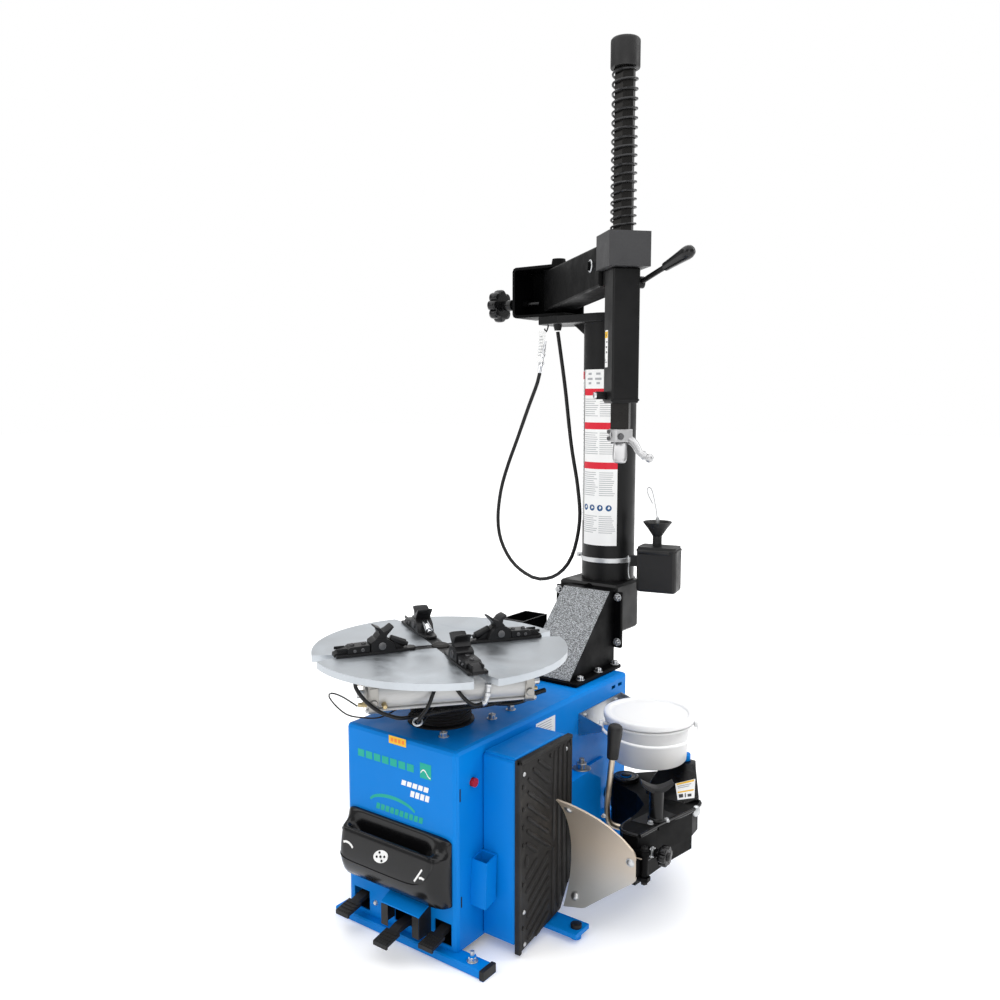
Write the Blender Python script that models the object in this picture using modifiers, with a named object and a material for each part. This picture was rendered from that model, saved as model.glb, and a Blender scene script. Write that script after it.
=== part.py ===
"""Tyre changer with a swing arm, a side bead breaker and a paste bucket. Metres, +Z up, front at -Y.

The layout is worked in cabinet coordinates: X is zero on the cabinet's middle, Y is zero on its
front face and Z is zero on the floor. FRAME_SHIFT then puts the origin under the machine's middle.
"""

import math

import bmesh
import bpy
from mathutils import Matrix, Vector

# ---- driving dimensions ------------------------------------------------------------------------
FRAME_SHIFT = Vector((-0.05296, -0.40525, 0.0))
GAP = 0.0003

CAB_HALF_W = 0.1628
CAB_DEPTH = 0.739
CAB_BOTTOM = 0.0203
CAB_TOP = 0.467
SHEET = 0.003

TABLE_XY = (0.0, 0.145)
TABLE_R = 0.2925
TABLE_TOP = 0.6416
TABLE_THICK = 0.015
SLOT_WIDTH = 0.030
SLOT_ANGLES = (58.6, 148.6, 238.6, 328.6)
CYLINDER_ANGLE = 51.0
JAW_R = 0.135

COLUMN_XY = (0.022, 0.872)
COLUMN_R = 0.075
COLUMN_BOTTOM = 0.560
COLUMN_TOP = 1.4195

PIVOT_XY = (-0.154, 0.872)
ARM_ANGLE = -42.0
ARM_REACH = 0.572
HEX_AF = 0.043
HEX_BOTTOM = 1.136
HEX_TOP = 1.956
SLEEVE_BOTTOM = 1.197
BLOCK_BOTTOM = 1.508
BLOCK_TOP = 1.587
SPRING_TURNS = 18

PAD_Y0 = 0.090
PAD_Y1 = 0.300
PAD_FACE = 0.2648

BREAKER_XY = (0.264, 0.555)
ARM_LOW = 0.130
ARM_HIGH = 0.250
BLADE_ARC_YZ = (0.067, 0.170)
BLADE_R = 0.2117
BLADE_HINGE_XY = (0.452, 0.300)

BUCKET_XY = (0.304, 0.597)
BUCKET_R = 0.101
BUCKET_BOTTOM = 0.305
BUCKET_TOP = 0.414

BLUE = (0.004, 0.120, 0.610)
BLACK = (0.018, 0.018, 0.020)
STEEL = (0.520, 0.530, 0.550)
ALLOY = (0.660, 0.670, 0.690)
RUBBER = (0.012, 0.012, 0.012)
WHITE = (0.820, 0.830, 0.840)
RED = (0.450, 0.010, 0.010)

for old in list(bpy.data.objects):
    bpy.data.objects.remove(old, do_unlink=True)

PARTS = bpy.data.collections.new("tire_changer")
CUTTERS = bpy.data.collections.new("cutters")
bpy.context.scene.collection.children.link(PARTS)
bpy.context.scene.collection.children.link(CUTTERS)
CUTTERS.hide_render = True

ROOT = bpy.data.objects.new("machine_frame", None)
ROOT.location = FRAME_SHIFT
PARTS.objects.link(ROOT)


# ---- modelling helpers -------------------------------------------------------------------------
def helper_object(bm, name="tool"):
    """A hidden mesh object made from a bmesh, for use as a tool or as the start of a node."""
    bmesh.ops.recalc_face_normals(bm, faces=bm.faces)
    mesh = bpy.data.meshes.new(name)
    bm.to_mesh(mesh)
    bm.free()
    obj = bpy.data.objects.new(name, mesh)
    obj.parent = ROOT
    obj.hide_render = True
    obj.display_type = "WIRE"
    CUTTERS.objects.link(obj)
    return obj


def prism(outline, low, high, axis="Z"):
    """Extrude a closed 2-D outline: (x, y) along Z, (y, z) along X or (x, z) along Y."""
    place = {
        "Z": lambda u, v: (u, v, low),
        "X": lambda u, v: (low, u, v),
        "Y": lambda u, v: (u, low, v),
    }[axis]
    step = {"Z": (0, 0, 1), "X": (1, 0, 0), "Y": (0, 1, 0)}[axis]
    bm = bmesh.new()
    face = bm.faces.new([bm.verts.new(place(u, v)) for u, v in outline])
    raised = bmesh.ops.extrude_face_region(bm, geom=[face])["geom"]
    verts = [item for item in raised if isinstance(item, bmesh.types.BMVert)]
    bmesh.ops.translate(bm, verts=verts, vec=Vector(step) * (high - low))
    return helper_object(bm)


def block(low, high):
    """An axis-aligned box between two corners."""
    low, high = Vector(low), Vector(high)
    bm = bmesh.new()
    scale = Matrix.Diagonal((*(high - low), 1.0))
    bmesh.ops.create_cube(bm, size=1.0, matrix=Matrix.Translation((low + high) / 2) @ scale)
    return helper_object(bm)


def rod(start, end, radius, end_radius=None, sides=12):
    """A cylinder or a cone between two points."""
    start, end = Vector(start), Vector(end)
    along = end - start
    turn = along.to_track_quat("Z", "Y").to_matrix().to_4x4()
    bm = bmesh.new()
    bmesh.ops.create_cone(
        bm,
        cap_ends=True,
        segments=sides,
        radius1=radius,
        radius2=radius if end_radius is None else end_radius,
        depth=along.length,
        matrix=Matrix.Translation((start + end) / 2) @ turn,
    )
    return helper_object(bm)


def upright(xy, z0, z1, radius, end_radius=None, sides=20):
    """A vertical cylinder or cone."""
    return rod((*xy, z0), (*xy, z1), radius, end_radius, sides)


def ball(centre, radius, sides=10):
    """A sphere."""
    bm = bmesh.new()
    place = Matrix.Translation(centre)
    bmesh.ops.create_uvsphere(bm, u_segments=sides, v_segments=sides // 2, radius=radius, matrix=place)
    return helper_object(bm)


def turned(profile, xy, sides=24):
    """A closed (radius, z) profile turned about a vertical axis; it may start and end on the axis."""
    bm = bmesh.new()
    verts = [bm.verts.new((max(r, 0.0), 0.0, z)) for r, z in profile]
    edges = [bm.edges.new(pair) for pair in zip(verts, verts[1:])]
    if profile[0][0] > 0.0:
        edges.append(bm.edges.new((verts[-1], verts[0])))
    bmesh.ops.spin(
        bm,
        geom=verts + edges,
        cent=(0, 0, 0),
        axis=(0, 0, 1),
        angle=math.tau,
        steps=sides,
        use_merge=True,
    )
    bmesh.ops.remove_doubles(bm, verts=bm.verts, dist=1e-6)
    bmesh.ops.translate(bm, verts=bm.verts, vec=(*xy, 0.0))
    return helper_object(bm)


def smooth_route(points, spacing):
    """Points every spacing metres along a Catmull-Rom curve through hand-chosen points."""
    knots = [Vector(p) for p in points]
    ends = [2 * knots[0] - knots[1]] + knots + [2 * knots[-1] - knots[-2]]
    fine = []
    for p0, p1, p2, p3 in zip(ends, ends[1:], ends[2:], ends[3:]):
        for step in range(24):
            t = step / 24
            fine.append(
                0.5
                * (
                    2 * p1
                    + (p2 - p0) * t
                    + (2 * p0 - 5 * p1 + 4 * p2 - p3) * t**2
                    + (3 * p1 - p0 - 3 * p2 + p3) * t**3
                )
            )
    fine.append(knots[-1])
    total = sum((b - a).length for a, b in zip(fine, fine[1:]))
    count = max(2, round(total / spacing))
    route = [fine[0]]
    walked = 0.0
    for a, b in zip(fine, fine[1:]):
        length = (b - a).length
        while len(route) < count and walked + length >= len(route) * total / count - 1e-9:
            share = (len(route) * total / count - walked) / length
            route.append(a.lerp(b, share))
        walked += length
    return route[:count] + [fine[-1]]


def hose_curve(name, route, radius, resolution=2):
    """A capped tube on a straight-segment curve through the route."""
    curve = bpy.data.curves.new(name, "CURVE")
    curve.dimensions = "3D"
    curve.bevel_depth = radius
    curve.bevel_resolution = resolution
    curve.use_fill_caps = True
    spline = curve.splines.new("POLY")
    spline.points.add(len(route) - 1)
    for point, co in zip(spline.points, route):
        point.co = (*co, 1.0)
    obj = bpy.data.objects.new(name, curve)
    obj.parent = ROOT
    return obj


def hose(route, radius, resolution=1):
    """The same tube as a mesh, so that a Boolean can take it."""
    obj = hose_curve("route", route, radius, resolution)
    CUTTERS.objects.link(obj)
    bpy.context.view_layer.update()
    seen = obj.evaluated_get(bpy.context.evaluated_depsgraph_get())
    bm = bmesh.new()
    bm.from_mesh(seen.to_mesh())
    bpy.data.objects.remove(obj, do_unlink=True)
    bmesh.ops.remove_doubles(bm, verts=bm.verts, dist=1e-6)
    return helper_object(bm)


def bevelled(obj, width, segments=1, angle=30):
    """Round the edges sharper than the angle."""
    mod = obj.modifiers.new("edge_round", "BEVEL")
    mod.width = width
    mod.segments = segments
    mod.limit_method = "ANGLE"
    mod.angle_limit = math.radians(angle)
    return obj


def boolean(obj, tool, operation):
    mod = obj.modifiers.new(operation.lower(), "BOOLEAN")
    mod.operation = operation
    mod.solver = "EXACT"
    mod.object = tool
    return obj


def fuse(obj, *tools):
    for tool in tools:
        boolean(obj, tool, "UNION")
    return obj


def carve(obj, *tools):
    for tool in tools:
        boolean(obj, tool, "DIFFERENCE")
    return obj


def turn(obj, degrees, centre=(0.0, 0.0)):
    """Turn a piece made about the Z axis by an angle, then carry it to its centre."""
    place = Matrix.Translation((*centre, 0.0)) @ Matrix.Rotation(math.radians(degrees), 4, "Z")
    obj.data.transform(place)
    return obj


def node(name, obj, colour, roughness=0.5, metallic=0.0, pivot=None):
    """Turn a helper into a named part with its own material and its origin on its joint axis."""
    obj.name = name
    material = bpy.data.materials.new(name)
    material.use_nodes = True
    shader = material.node_tree.nodes["Principled BSDF"]
    shader.inputs["Base Color"].default_value = (*colour, 1.0)
    shader.inputs["Roughness"].default_value = roughness
    shader.inputs["Metallic"].default_value = metallic
    material.diffuse_color = (*colour, 1.0)
    obj.data.materials.clear()
    obj.data.materials.append(material)
    if pivot is not None:
        obj.data.transform(Matrix.Translation(-Vector(pivot)))
        obj.location = pivot
    obj.data.shade_smooth()
    obj.data.set_sharp_from_angle(angle=math.radians(35))
    obj.hide_render = False
    obj.display_type = "TEXTURED"
    if CUTTERS.objects.get(obj.name):
        CUTTERS.objects.unlink(obj)
    PARTS.objects.link(obj)
    return obj


def along_arm(u, v=0.0):
    """The (x, y) point u along the swing arm and v to its left."""
    a = math.radians(ARM_ANGLE)
    return (
        PIVOT_XY[0] + u * math.cos(a) - v * math.sin(a),
        PIVOT_XY[1] + u * math.sin(a) + v * math.cos(a),
    )


def arm_point(u, v, z):
    return (*along_arm(u, v), z)


def arm_block(u0, u1, v0, v1, z0, z1):
    """A box whose long side runs along the swing arm."""
    return turn(block((u0, v0, z0), (u1, v1, z1)), ARM_ANGLE, PIVOT_XY)


def circle(xy, radius, sides, start=0.0, sweep=360.0):
    """Points on an arc, for an outline."""
    closed = sweep >= 360.0
    count = sides if closed else sides + 1
    return [
        (
            xy[0] + radius * math.cos(math.radians(start + sweep * i / sides)),
            xy[1] + radius * math.sin(math.radians(start + sweep * i / sides)),
        )
        for i in range(count)
    ]


HEX_XY = along_arm(ARM_REACH)

# ---- cabinet -----------------------------------------------------------------------------------
cabinet = bevelled(block((-CAB_HALF_W, 0, -0.050), (CAB_HALF_W, CAB_DEPTH, CAB_TOP)), 0.010, 2)
hollow = block(
    (-CAB_HALF_W + SHEET, SHEET, -0.060),
    (CAB_HALF_W - SHEET, CAB_DEPTH - SHEET, CAB_TOP - SHEET),
)
cabinet = carve(
    cabinet,
    bevelled(hollow, 0.0075, 1),
    block((-0.20, -0.05, -0.10), (0.20, 0.80, CAB_BOTTOM)),
    block((-0.1450, -0.01, 0.030), (-0.0960, 0.02, 0.077)),
    block((0.1000, -0.01, 0.030), (0.1480, 0.02, 0.081)),
    block((-0.0180, -0.01, 0.036), (0.0850, 0.02, 0.100)),
    upright(TABLE_XY, CAB_TOP - 0.02, CAB_TOP + 0.02, 0.052),
    rod((0.15, 0.640, 0.160), (0.18, 0.640, 0.160), 0.020),
    rod((0.15, 0.056, 0.386), (0.18, 0.056, 0.386), 0.0105),
    *[
        block((-0.080, CAB_DEPTH - 0.02, z), (0.080, CAB_DEPTH + 0.02, z + 0.009))
        for z in (0.200, 0.222, 0.244, 0.266, 0.288)
    ],
    *[
        block((0.15, y, 0.437), (0.18, y + 0.020, 0.446))
        for y in (0.655, 0.690)
    ],
)
ledge = prism(
    ((0.3303, 0.060), (0.500, 0.060), (0.500, 0.262), (0.440, 0.296), (0.3303, 0.296)),
    CAB_HALF_W - 0.001,
    0.2230,
    "X",
)
ledge_nut = rod((0.198, 0.448, 0.295), (0.198, 0.448, 0.3100), 0.013, sides=6)
ledge_stud = rod((0.198, 0.448, 0.309), (0.198, 0.448, 0.3220), 0.006, sides=8)
guard_outline = ((0.0015, 0.0440), (-0.0400, 0.0440), (-0.0400, 0.0960), (0.0015, 0.1120))
guard_left = prism(guard_outline, -0.0220, -0.0190, "X")
guard_right = prism(guard_outline, 0.0860, 0.0890, "X")
guard_hood = prism(
    ((0.0015, 0.1050), (-0.0400, 0.0940), (-0.0400, 0.0970), (0.0015, 0.1135)),
    -0.0225,
    0.0895,
    "X",
)
top_bolts = [
    rod((x, y, CAB_TOP - 0.001), (x, y, CAB_TOP + 0.009), 0.0085, sides=6)
    for x, y in ((0.0785, 0.061), (0.0935, 0.218), (0.0920, 0.295), (-0.0935, 0.218))
]
fuse(cabinet, ledge, ledge_nut, ledge_stud, guard_left, guard_right, guard_hood, *top_bolts)
node("cabinet_shell", cabinet, BLUE, 0.35)

rail = bevelled(block((-0.191, -0.020, 0), (0.240, 0.022, 0.020)), 0.003, 1)
rail_stud = rod((0.205, 0.000, 0.019), (0.205, 0.000, 0.034), 0.0085, sides=6)
rail_cap = block((0.2395, -0.021, 0), (0.2500, 0.023, 0.021))
node("front_foot_rail", fuse(rail, rail_stud, rail_cap), BLUE, 0.4)

rear_rail = bevelled(block((-0.191, 0.682, 0), (0.191, 0.724, 0.020)), 0.003, 1)
node("rear_foot_rail", rear_rail, BLUE, 0.4)

# ---- wheel support pad -------------------------------------------------------------------------
housing = bevelled(
    prism(
        (
            (PAD_Y0, 0.024),
            (PAD_Y1 - 0.045, 0.024),
            (PAD_Y1, 0.095),
            (PAD_Y1, 0.440),
            (PAD_Y0, 0.440),
        ),
        CAB_HALF_W + GAP,
        0.2495,
        "X",
    ),
    0.004,
    1,
)
pad_flap = bevelled(block((0.166, PAD_Y0 + 0.004, 0.438), (0.2480, PAD_Y1 - 0.020, 0.446)), 0.003, 1)
foot_tab = block((0.190, 0.205, 0.0140), (0.335, 0.262, 0.0250))
foot_pad = upright((0.318, 0.234), 0.0, 0.0330, 0.012, sides=16)
node("pad_housing", fuse(housing, pad_flap, foot_tab, foot_pad), BLUE, 0.35)

PAD_BACK = 0.2498
pad = prism(
    (
        (PAD_Y0, 0.006),
        (PAD_Y1 - 0.040, 0.036),
        (PAD_Y1, 0.100),
        (PAD_Y1, 0.443),
        (PAD_Y0, 0.443),
    ),
    PAD_BACK,
    PAD_FACE - 0.0060,
    "X",
)
ribs = [
    block((PAD_FACE - 0.008, y, 0.105), (PAD_FACE, y + 0.007, 0.440))
    for y in (0.241, 0.258, 0.275, 0.292)
]
RIB_RISE = 0.105
for row in range(9):
    for foot, rise in ((0.245 + 0.0235 * row, -RIB_RISE), (0.002 + 0.0235 * row, RIB_RISE)):
        ends = sorted(((PAD_Y0 + 0.006, foot), (0.236, foot + rise)))
        low_z = min(z for _, z in ends)
        high_z = max(z for _, z in ends)
        inside = high_z < 0.215 if rise > 0 else low_z > 0.222
        if inside and high_z < 0.428 and low_z > 0.010:
            (y0, z0), (y1, z1) = ends
            outline = ((y0, z0), (y1, z1), (y1, z1 + 0.009), (y0, z0 + 0.009))
            ribs.append(prism(outline, PAD_FACE - 0.008, PAD_FACE, "X"))
ribs.append(block((PAD_FACE - 0.008, PAD_Y0, 0.2150), (PAD_FACE, 0.2415, 0.2215)))
ribs.append(block((PAD_FACE - 0.008, PAD_Y0, 0.4300), (PAD_FACE, PAD_Y1, 0.4430)))
ribs.append(block((PAD_FACE - 0.008, PAD_Y0, 0.0120), (PAD_FACE, PAD_Y0 + 0.0070, 0.4430)))
node("rubber_pad", fuse(pad, *ribs), RUBBER, 0.8)

# ---- pedal cover, tool pocket and tray -----------------------------------------------------------
cover = bevelled(
    prism(
        (
            (-GAP, 0.115),
            (-0.026, 0.118),
            (-0.044, 0.140),
            (-0.050, 0.170),
            (-0.046, 0.215),
            (-0.030, 0.262),
            (-0.012, 0.272),
            (-GAP, 0.272),
        ),
        -0.1535,
        0.1510,
        "X",
    ),
    0.007,
    3,
    40,
)
node("pedal_cover", cover, BLACK, 0.3)

pocket = prism(
    ((0.052, 0.214), (0.088, 0.222), (0.082, 0.120), (0.046, 0.112)),
    CAB_HALF_W + GAP,
    0.2050,
    "X",
)
pocket_hole = prism(
    ((0.0550, 0.240), (0.0860, 0.247), (0.0788, 0.125), (0.0478, 0.118)),
    CAB_HALF_W + GAP + SHEET,
    0.2020,
    "X",
)
node("tool_pocket", carve(pocket, pocket_hole), BLUE, 0.35)

tray = block((-0.151, 0.590, CAB_TOP + GAP), (-0.078, 0.705, 0.600))
tray = carve(tray, block((-0.148, 0.593, CAB_TOP + 0.004), (-0.081, 0.702, 0.61)))
node("tool_tray", tray, BLACK, 0.4)

# ---- column --------------------------------------------------------------------------------------
BRACKET_BASE = CAB_TOP + GAP
WEDGE_X0 = -0.040
base = bevelled(block((-0.062, 0.527, BRACKET_BASE), (0.133, 0.760, 0.479)), 0.003, 1)
wedge = prism(
    ((0.529, 0.478), (0.760, 0.478), (0.760, 0.683), (0.734, 0.683)),
    WEDGE_X0,
    0.109,
    "X",
)
wedge_hollow = prism(
    ((0.600, 0.4600), (0.750, 0.4600), (0.750, 0.640), (0.725, 0.640), (0.600, 0.490)),
    WEDGE_X0 + 0.008,
    0.101,
    "X",
)
back_plate = bevelled(block((-0.082, 0.757, 0.5220), (0.132, 0.7690, 0.6780)), 0.003, 1)
lug = rod((0.022, 0.757, 0.678), (0.022, 0.769, 0.678), 0.013, sides=16)
bracket_bolts = [
    rod((x, y, 0.478), (x, y, 0.488), 0.0085, sides=6)
    for x in (-0.0510, 0.1205)
    for y in (0.564, 0.656, 0.745)
]
plate_bolts = [
    rod((x, 0.748, z), (x, 0.758, z), 0.0085, sides=6)
    for x in (-0.071, 0.120)
    for z in (0.539, 0.664)
]
bracket = fuse(base, wedge, back_plate, lug, *bracket_bolts, *plate_bolts)
node("column_bracket", carve(bracket, wedge_hollow), BLACK, 0.35)

foot_outline = (
    (-0.0780, 0.7695),
    (0.1100, 0.7695),
    (0.1100, 0.8930),
    (0.0640, 0.9580),
    (-0.0300, 0.9580),
    (-0.0780, 0.9200),
)
foot = bevelled(prism(foot_outline, 0.555, 0.692), 0.006)
foot_socket = upright(COLUMN_XY, 0.5600, 0.72, COLUMN_R + GAP, sides=36)
node("column_foot", carve(foot, foot_socket), BLACK, 0.35)

tube = upright(COLUMN_XY, COLUMN_BOTTOM + GAP, COLUMN_TOP, COLUMN_R, sides=36)
tube_hollow = upright(COLUMN_XY, COLUMN_BOTTOM - 0.01, COLUMN_TOP + 0.01, COLUMN_R - 0.005, sides=36)
node("column_tube", carve(tube, tube_hollow), BLACK, 0.35)

top_outline = [
    (0.022, 0.952),
    (-0.110, 0.947),
    (-0.190, 0.925),
    (-0.190, 0.819),
    (-0.110, 0.797),
    (0.022, 0.792),
]
top_outline += circle(COLUMN_XY, 0.080, 10, -80, 160)
top_plate = bevelled(prism(top_outline, COLUMN_TOP + GAP, 1.4430), 0.002)
top_spigot = upright(COLUMN_XY, 1.385, 1.421, COLUMN_R - 0.006, sides=24)
gusset = prism(
    ((-0.100, 1.4205), (-0.0555, 1.4205), (-0.0555, 1.384)),
    0.868,
    0.876,
    "Y",
)
hook_route = smooth_route(
    ((-0.174, 0.850, 1.424), (-0.176, 0.848, 1.411), (-0.181, 0.848, 1.402), (-0.187, 0.848, 1.411)),
    0.006,
)
hook = hose(hook_route, 0.0022)
hose_gland = rod((-0.142, 0.850, 1.4205), (-0.142, 0.850, 1.4040), 0.0135, 0.0095, 12)
top_node = carve(
    fuse(top_plate, top_spigot, gusset, hook, hose_gland),
    upright(PIVOT_XY, 1.41, 1.45, 0.0123, sides=20),
)
node("column_top_plate", top_node, BLACK, 0.35)

band = upright(COLUMN_XY, 0.745, 0.759, COLUMN_R + 0.0022, sides=36)
band_screw = block((-0.074, 0.853, 0.746), (-0.0525, 0.873, 0.758))
band_tail = rod((-0.063, 0.843, 0.752), (-0.063, 0.884, 0.752), 0.0035, sides=8)
s_hook = hose(
    smooth_route(
        (
            (0.0960, 0.8500, 0.757),
            (0.1040, 0.8420, 0.766),
            (0.1120, 0.8340, 0.752),
            (0.1080, 0.8380, 0.735),
            (0.1100, 0.8360, 0.716),
            (0.1160, 0.8300, 0.706),
        ),
        0.008,
    ),
    0.0022,
)
band_bore = upright(COLUMN_XY, 0.73, 0.78, COLUMN_R + GAP, sides=36)
node("band_clamp", carve(fuse(band, band_screw, band_tail, s_hook), band_bore), STEEL, 0.35, 1.0)

# ---- accessory box beside the column -------------------------------------------------------------
acc = bevelled(block((-0.050, -0.036, -0.062), (0.062, 0.036, 0.064)), 0.009, 2)
funnel_stem = upright((0.0, 0.0), 0.060, 0.096, 0.012, 0.012, 20)
funnel_cone = upright((0.0, 0.0), 0.092, 0.132, 0.012, 0.038, 20)
funnel_bowl = upright((0.0, 0.0), 0.099, 0.142, 0.0095, 0.0405, 20)
arm_strap = block((-0.075, -0.006, 0.004), (-0.044, 0.006, 0.034))
brush_hole = upright((0.0, 0.0), -0.030, 0.15, 0.0075, sides=12)
acc_node = carve(fuse(acc, funnel_stem, funnel_cone, arm_strap), funnel_bowl, brush_hole)
ACC_XY = (0.185, 0.860)
ACC_Z = 0.735
acc_tools = [mod.object for mod in acc_node.modifiers if mod.type == "BOOLEAN"]
for item in [acc_node, *acc_tools]:
    item.data.transform(Matrix.Translation((*ACC_XY, ACC_Z)) @ Matrix.Rotation(math.radians(12), 4, "Z"))
acc_column_clear = upright(COLUMN_XY, 0.5, 0.9, COLUMN_R + 0.0030, sides=36)
node("accessory_box", carve(acc_node, acc_column_clear), BLACK, 0.45)

brush_z = 0.735
brush_handle = upright(ACC_XY, brush_z - 0.020, brush_z + 0.145, 0.0050, sides=10)
brush_loop = hose(
    smooth_route(
        (
            (ACC_XY[0], ACC_XY[1], brush_z + 0.140),
            (ACC_XY[0] - 0.006, ACC_XY[1], brush_z + 0.172),
            (ACC_XY[0] - 0.018, ACC_XY[1], brush_z + 0.218),
            (ACC_XY[0] - 0.030, ACC_XY[1], brush_z + 0.228),
            (ACC_XY[0] - 0.032, ACC_XY[1], brush_z + 0.212),
            (ACC_XY[0] - 0.016, ACC_XY[1], brush_z + 0.182),
        ),
        0.008,
    ),
    0.0016,
)
node("paste_brush", fuse(brush_handle, brush_loop), WHITE, 0.5, pivot=(*ACC_XY, brush_z))

# ---- paste bucket and its holder -----------------------------------------------------------------
holder_low = BUCKET_XY[1] - BUCKET_R - 0.0075
holder_high = BUCKET_XY[1] + BUCKET_R + 0.0075
holder_back = block((CAB_HALF_W + GAP, holder_low, 0.362), (CAB_HALF_W + 0.003, holder_high, 0.4180))
cheek = ((0.1640, 0.362), (0.2310, 0.384), (0.2310, 0.398), (0.1640, 0.418))
cheeks = [
    prism(cheek, holder_low, holder_low + 0.0025, "Y"),
    prism(cheek, holder_high - 0.0025, holder_high, "Y"),
]
holder_bolts = [
    rod((CAB_HALF_W + 0.0025, y, 0.404), (CAB_HALF_W + 0.008, y, 0.404), 0.007, sides=6)
    for y in (holder_low + 0.030, holder_high - 0.030)
]
node("bucket_holder", fuse(holder_back, *cheeks, *holder_bolts), STEEL, 0.4, 0.8)

wall = 0.0025
bucket = turned(
    (
        (0.0, BUCKET_BOTTOM),
        (BUCKET_R - 0.007, BUCKET_BOTTOM),
        (BUCKET_R, BUCKET_TOP - 0.016),
        (BUCKET_R + 0.0095, BUCKET_TOP - 0.014),
        (BUCKET_R + 0.0095, BUCKET_TOP - 0.011),
        (BUCKET_R + 0.001, BUCKET_TOP - 0.010),
        (BUCKET_R + 0.002, BUCKET_TOP),
        (BUCKET_R - wall, BUCKET_TOP),
        (BUCKET_R - 0.007 - wall, BUCKET_BOTTOM + wall),
        (0.0, BUCKET_BOTTOM + wall),
    ),
    BUCKET_XY,
    28,
)
BAIL_YAW = 36.0
bail_dir = (math.cos(math.radians(BAIL_YAW)), math.sin(math.radians(BAIL_YAW)))


def bucket_side(radius, z):
    """A point on the bail's pivot line at a radius from the bucket's middle."""
    return (BUCKET_XY[0] + radius * bail_dir[0], BUCKET_XY[1] + radius * bail_dir[1], z)


bail_z = BUCKET_TOP - 0.0230
ears = [
    rod(bucket_side(s * 0.0985, bail_z), bucket_side(s * 0.1130, bail_z), 0.0042, sides=10)
    for s in (-1, 1)
]
bucket_pivot = (*BUCKET_XY, BUCKET_BOTTOM)
node("paste_bucket", fuse(bucket, *ears), WHITE, 0.4, pivot=bucket_pivot)

lid = turned(
    (
        (0.0, BUCKET_TOP + 0.0020),
        (BUCKET_R - 0.012, BUCKET_TOP + 0.0020),
        (BUCKET_R - 0.006, BUCKET_TOP + 0.0008),
        (BUCKET_R + 0.0026, BUCKET_TOP + GAP),
        (BUCKET_R + 0.0032, BUCKET_TOP - 0.008),
        (BUCKET_R + 0.0068, BUCKET_TOP - 0.008),
        (BUCKET_R + 0.0128, BUCKET_TOP - 0.004),
        (BUCKET_R + 0.0128, BUCKET_TOP + 0.006),
        (BUCKET_R + 0.0085, BUCKET_TOP + 0.0110),
        (BUCKET_R - 0.006, BUCKET_TOP + 0.0110),
        (BUCKET_R - 0.012, BUCKET_TOP + 0.0065),
        (0.0, BUCKET_TOP + 0.0065),
    ),
    BUCKET_XY,
    28,
)
node("bucket_lid", lid, WHITE, 0.4, pivot=(*BUCKET_XY, BUCKET_TOP))

BAIL_R = 0.1230
bail_drop = [
    (
        BUCKET_XY[0] + BAIL_R * math.cos(math.radians(BAIL_YAW - t)),
        BUCKET_XY[1] + BAIL_R * math.sin(math.radians(BAIL_YAW - t)),
        bail_z - 0.024 * math.sin(math.radians(t)),
    )
    for t in range(0, 181, 15)
]
bail = hose([Vector(p) for p in bail_drop], 0.0030)
bail_eyes = [
    rod(bucket_side(s * 0.1145, bail_z), bucket_side(s * 0.1255, bail_z), 0.0090) for s in (-1, 1)
]
bail_holes = [
    rod(bucket_side(s * 0.1040, bail_z), bucket_side(s * 0.1150, bail_z), 0.0060) for s in (-1, 1)
]
node("bucket_bail", carve(fuse(bail, *bail_eyes), *bail_holes), WHITE, 0.4, pivot=(*BUCKET_XY, bail_z))

# ---- turntable -----------------------------------------------------------------------------------
TX, TY = TABLE_XY
TABLE_PIVOT = (TX, TY, TABLE_TOP)
plate_bottom = TABLE_TOP - TABLE_THICK
plate = upright(TABLE_XY, plate_bottom, TABLE_TOP, TABLE_R, sides=64)
for angle in SLOT_ANGLES:
    slot = prism(
        (
            (0.052, -SLOT_WIDTH / 2),
            (0.262, -SLOT_WIDTH / 2),
            (0.300, -SLOT_WIDTH * 0.95),
            (0.300, SLOT_WIDTH * 0.95),
            (0.262, SLOT_WIDTH / 2),
            (0.052, SLOT_WIDTH / 2),
        ),
        plate_bottom - 0.01,
        TABLE_TOP + 0.01,
    )
    carve(plate, turn(slot, angle, TABLE_XY))
carve(plate, upright(TABLE_XY, plate_bottom - 0.01, TABLE_TOP + 0.01, 0.0200, sides=24))
node("turntable_plate", plate, STEEL, 0.35, 1.0, pivot=TABLE_PIVOT)

hub = turned(
    (
        (0.0, 0.4720),
        (0.0660, 0.4720),
        (0.0700, 0.4780),
        (0.0700, 0.5000),
        (0.0560, 0.5080),
        (0.0480, 0.5200),
        (0.0480, 0.5900),
        (0.0520, 0.5960),
        (0.0520, plate_bottom - GAP),
        (0.0197, plate_bottom - GAP),
        (0.0197, TABLE_TOP + 0.0020),
        (0.0150, TABLE_TOP + 0.0080),
        (0.0, TABLE_TOP + 0.0080),
    ),
    TABLE_XY,
    24,
)
hub_shaft = upright(TABLE_XY, 0.4280, 0.4730, 0.0300, sides=24)
node("turntable_hub", fuse(hub, hub_shaft), BLACK, 0.45, pivot=TABLE_PIVOT)


def table_point(u, v, z):
    """A point u along the clamping cylinders and v to their left, from the table's middle."""
    a = math.radians(CYLINDER_ANGLE)
    return (
        TX + u * math.cos(a) - v * math.sin(a),
        TY + u * math.sin(a) + v * math.cos(a),
        z,
    )


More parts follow.
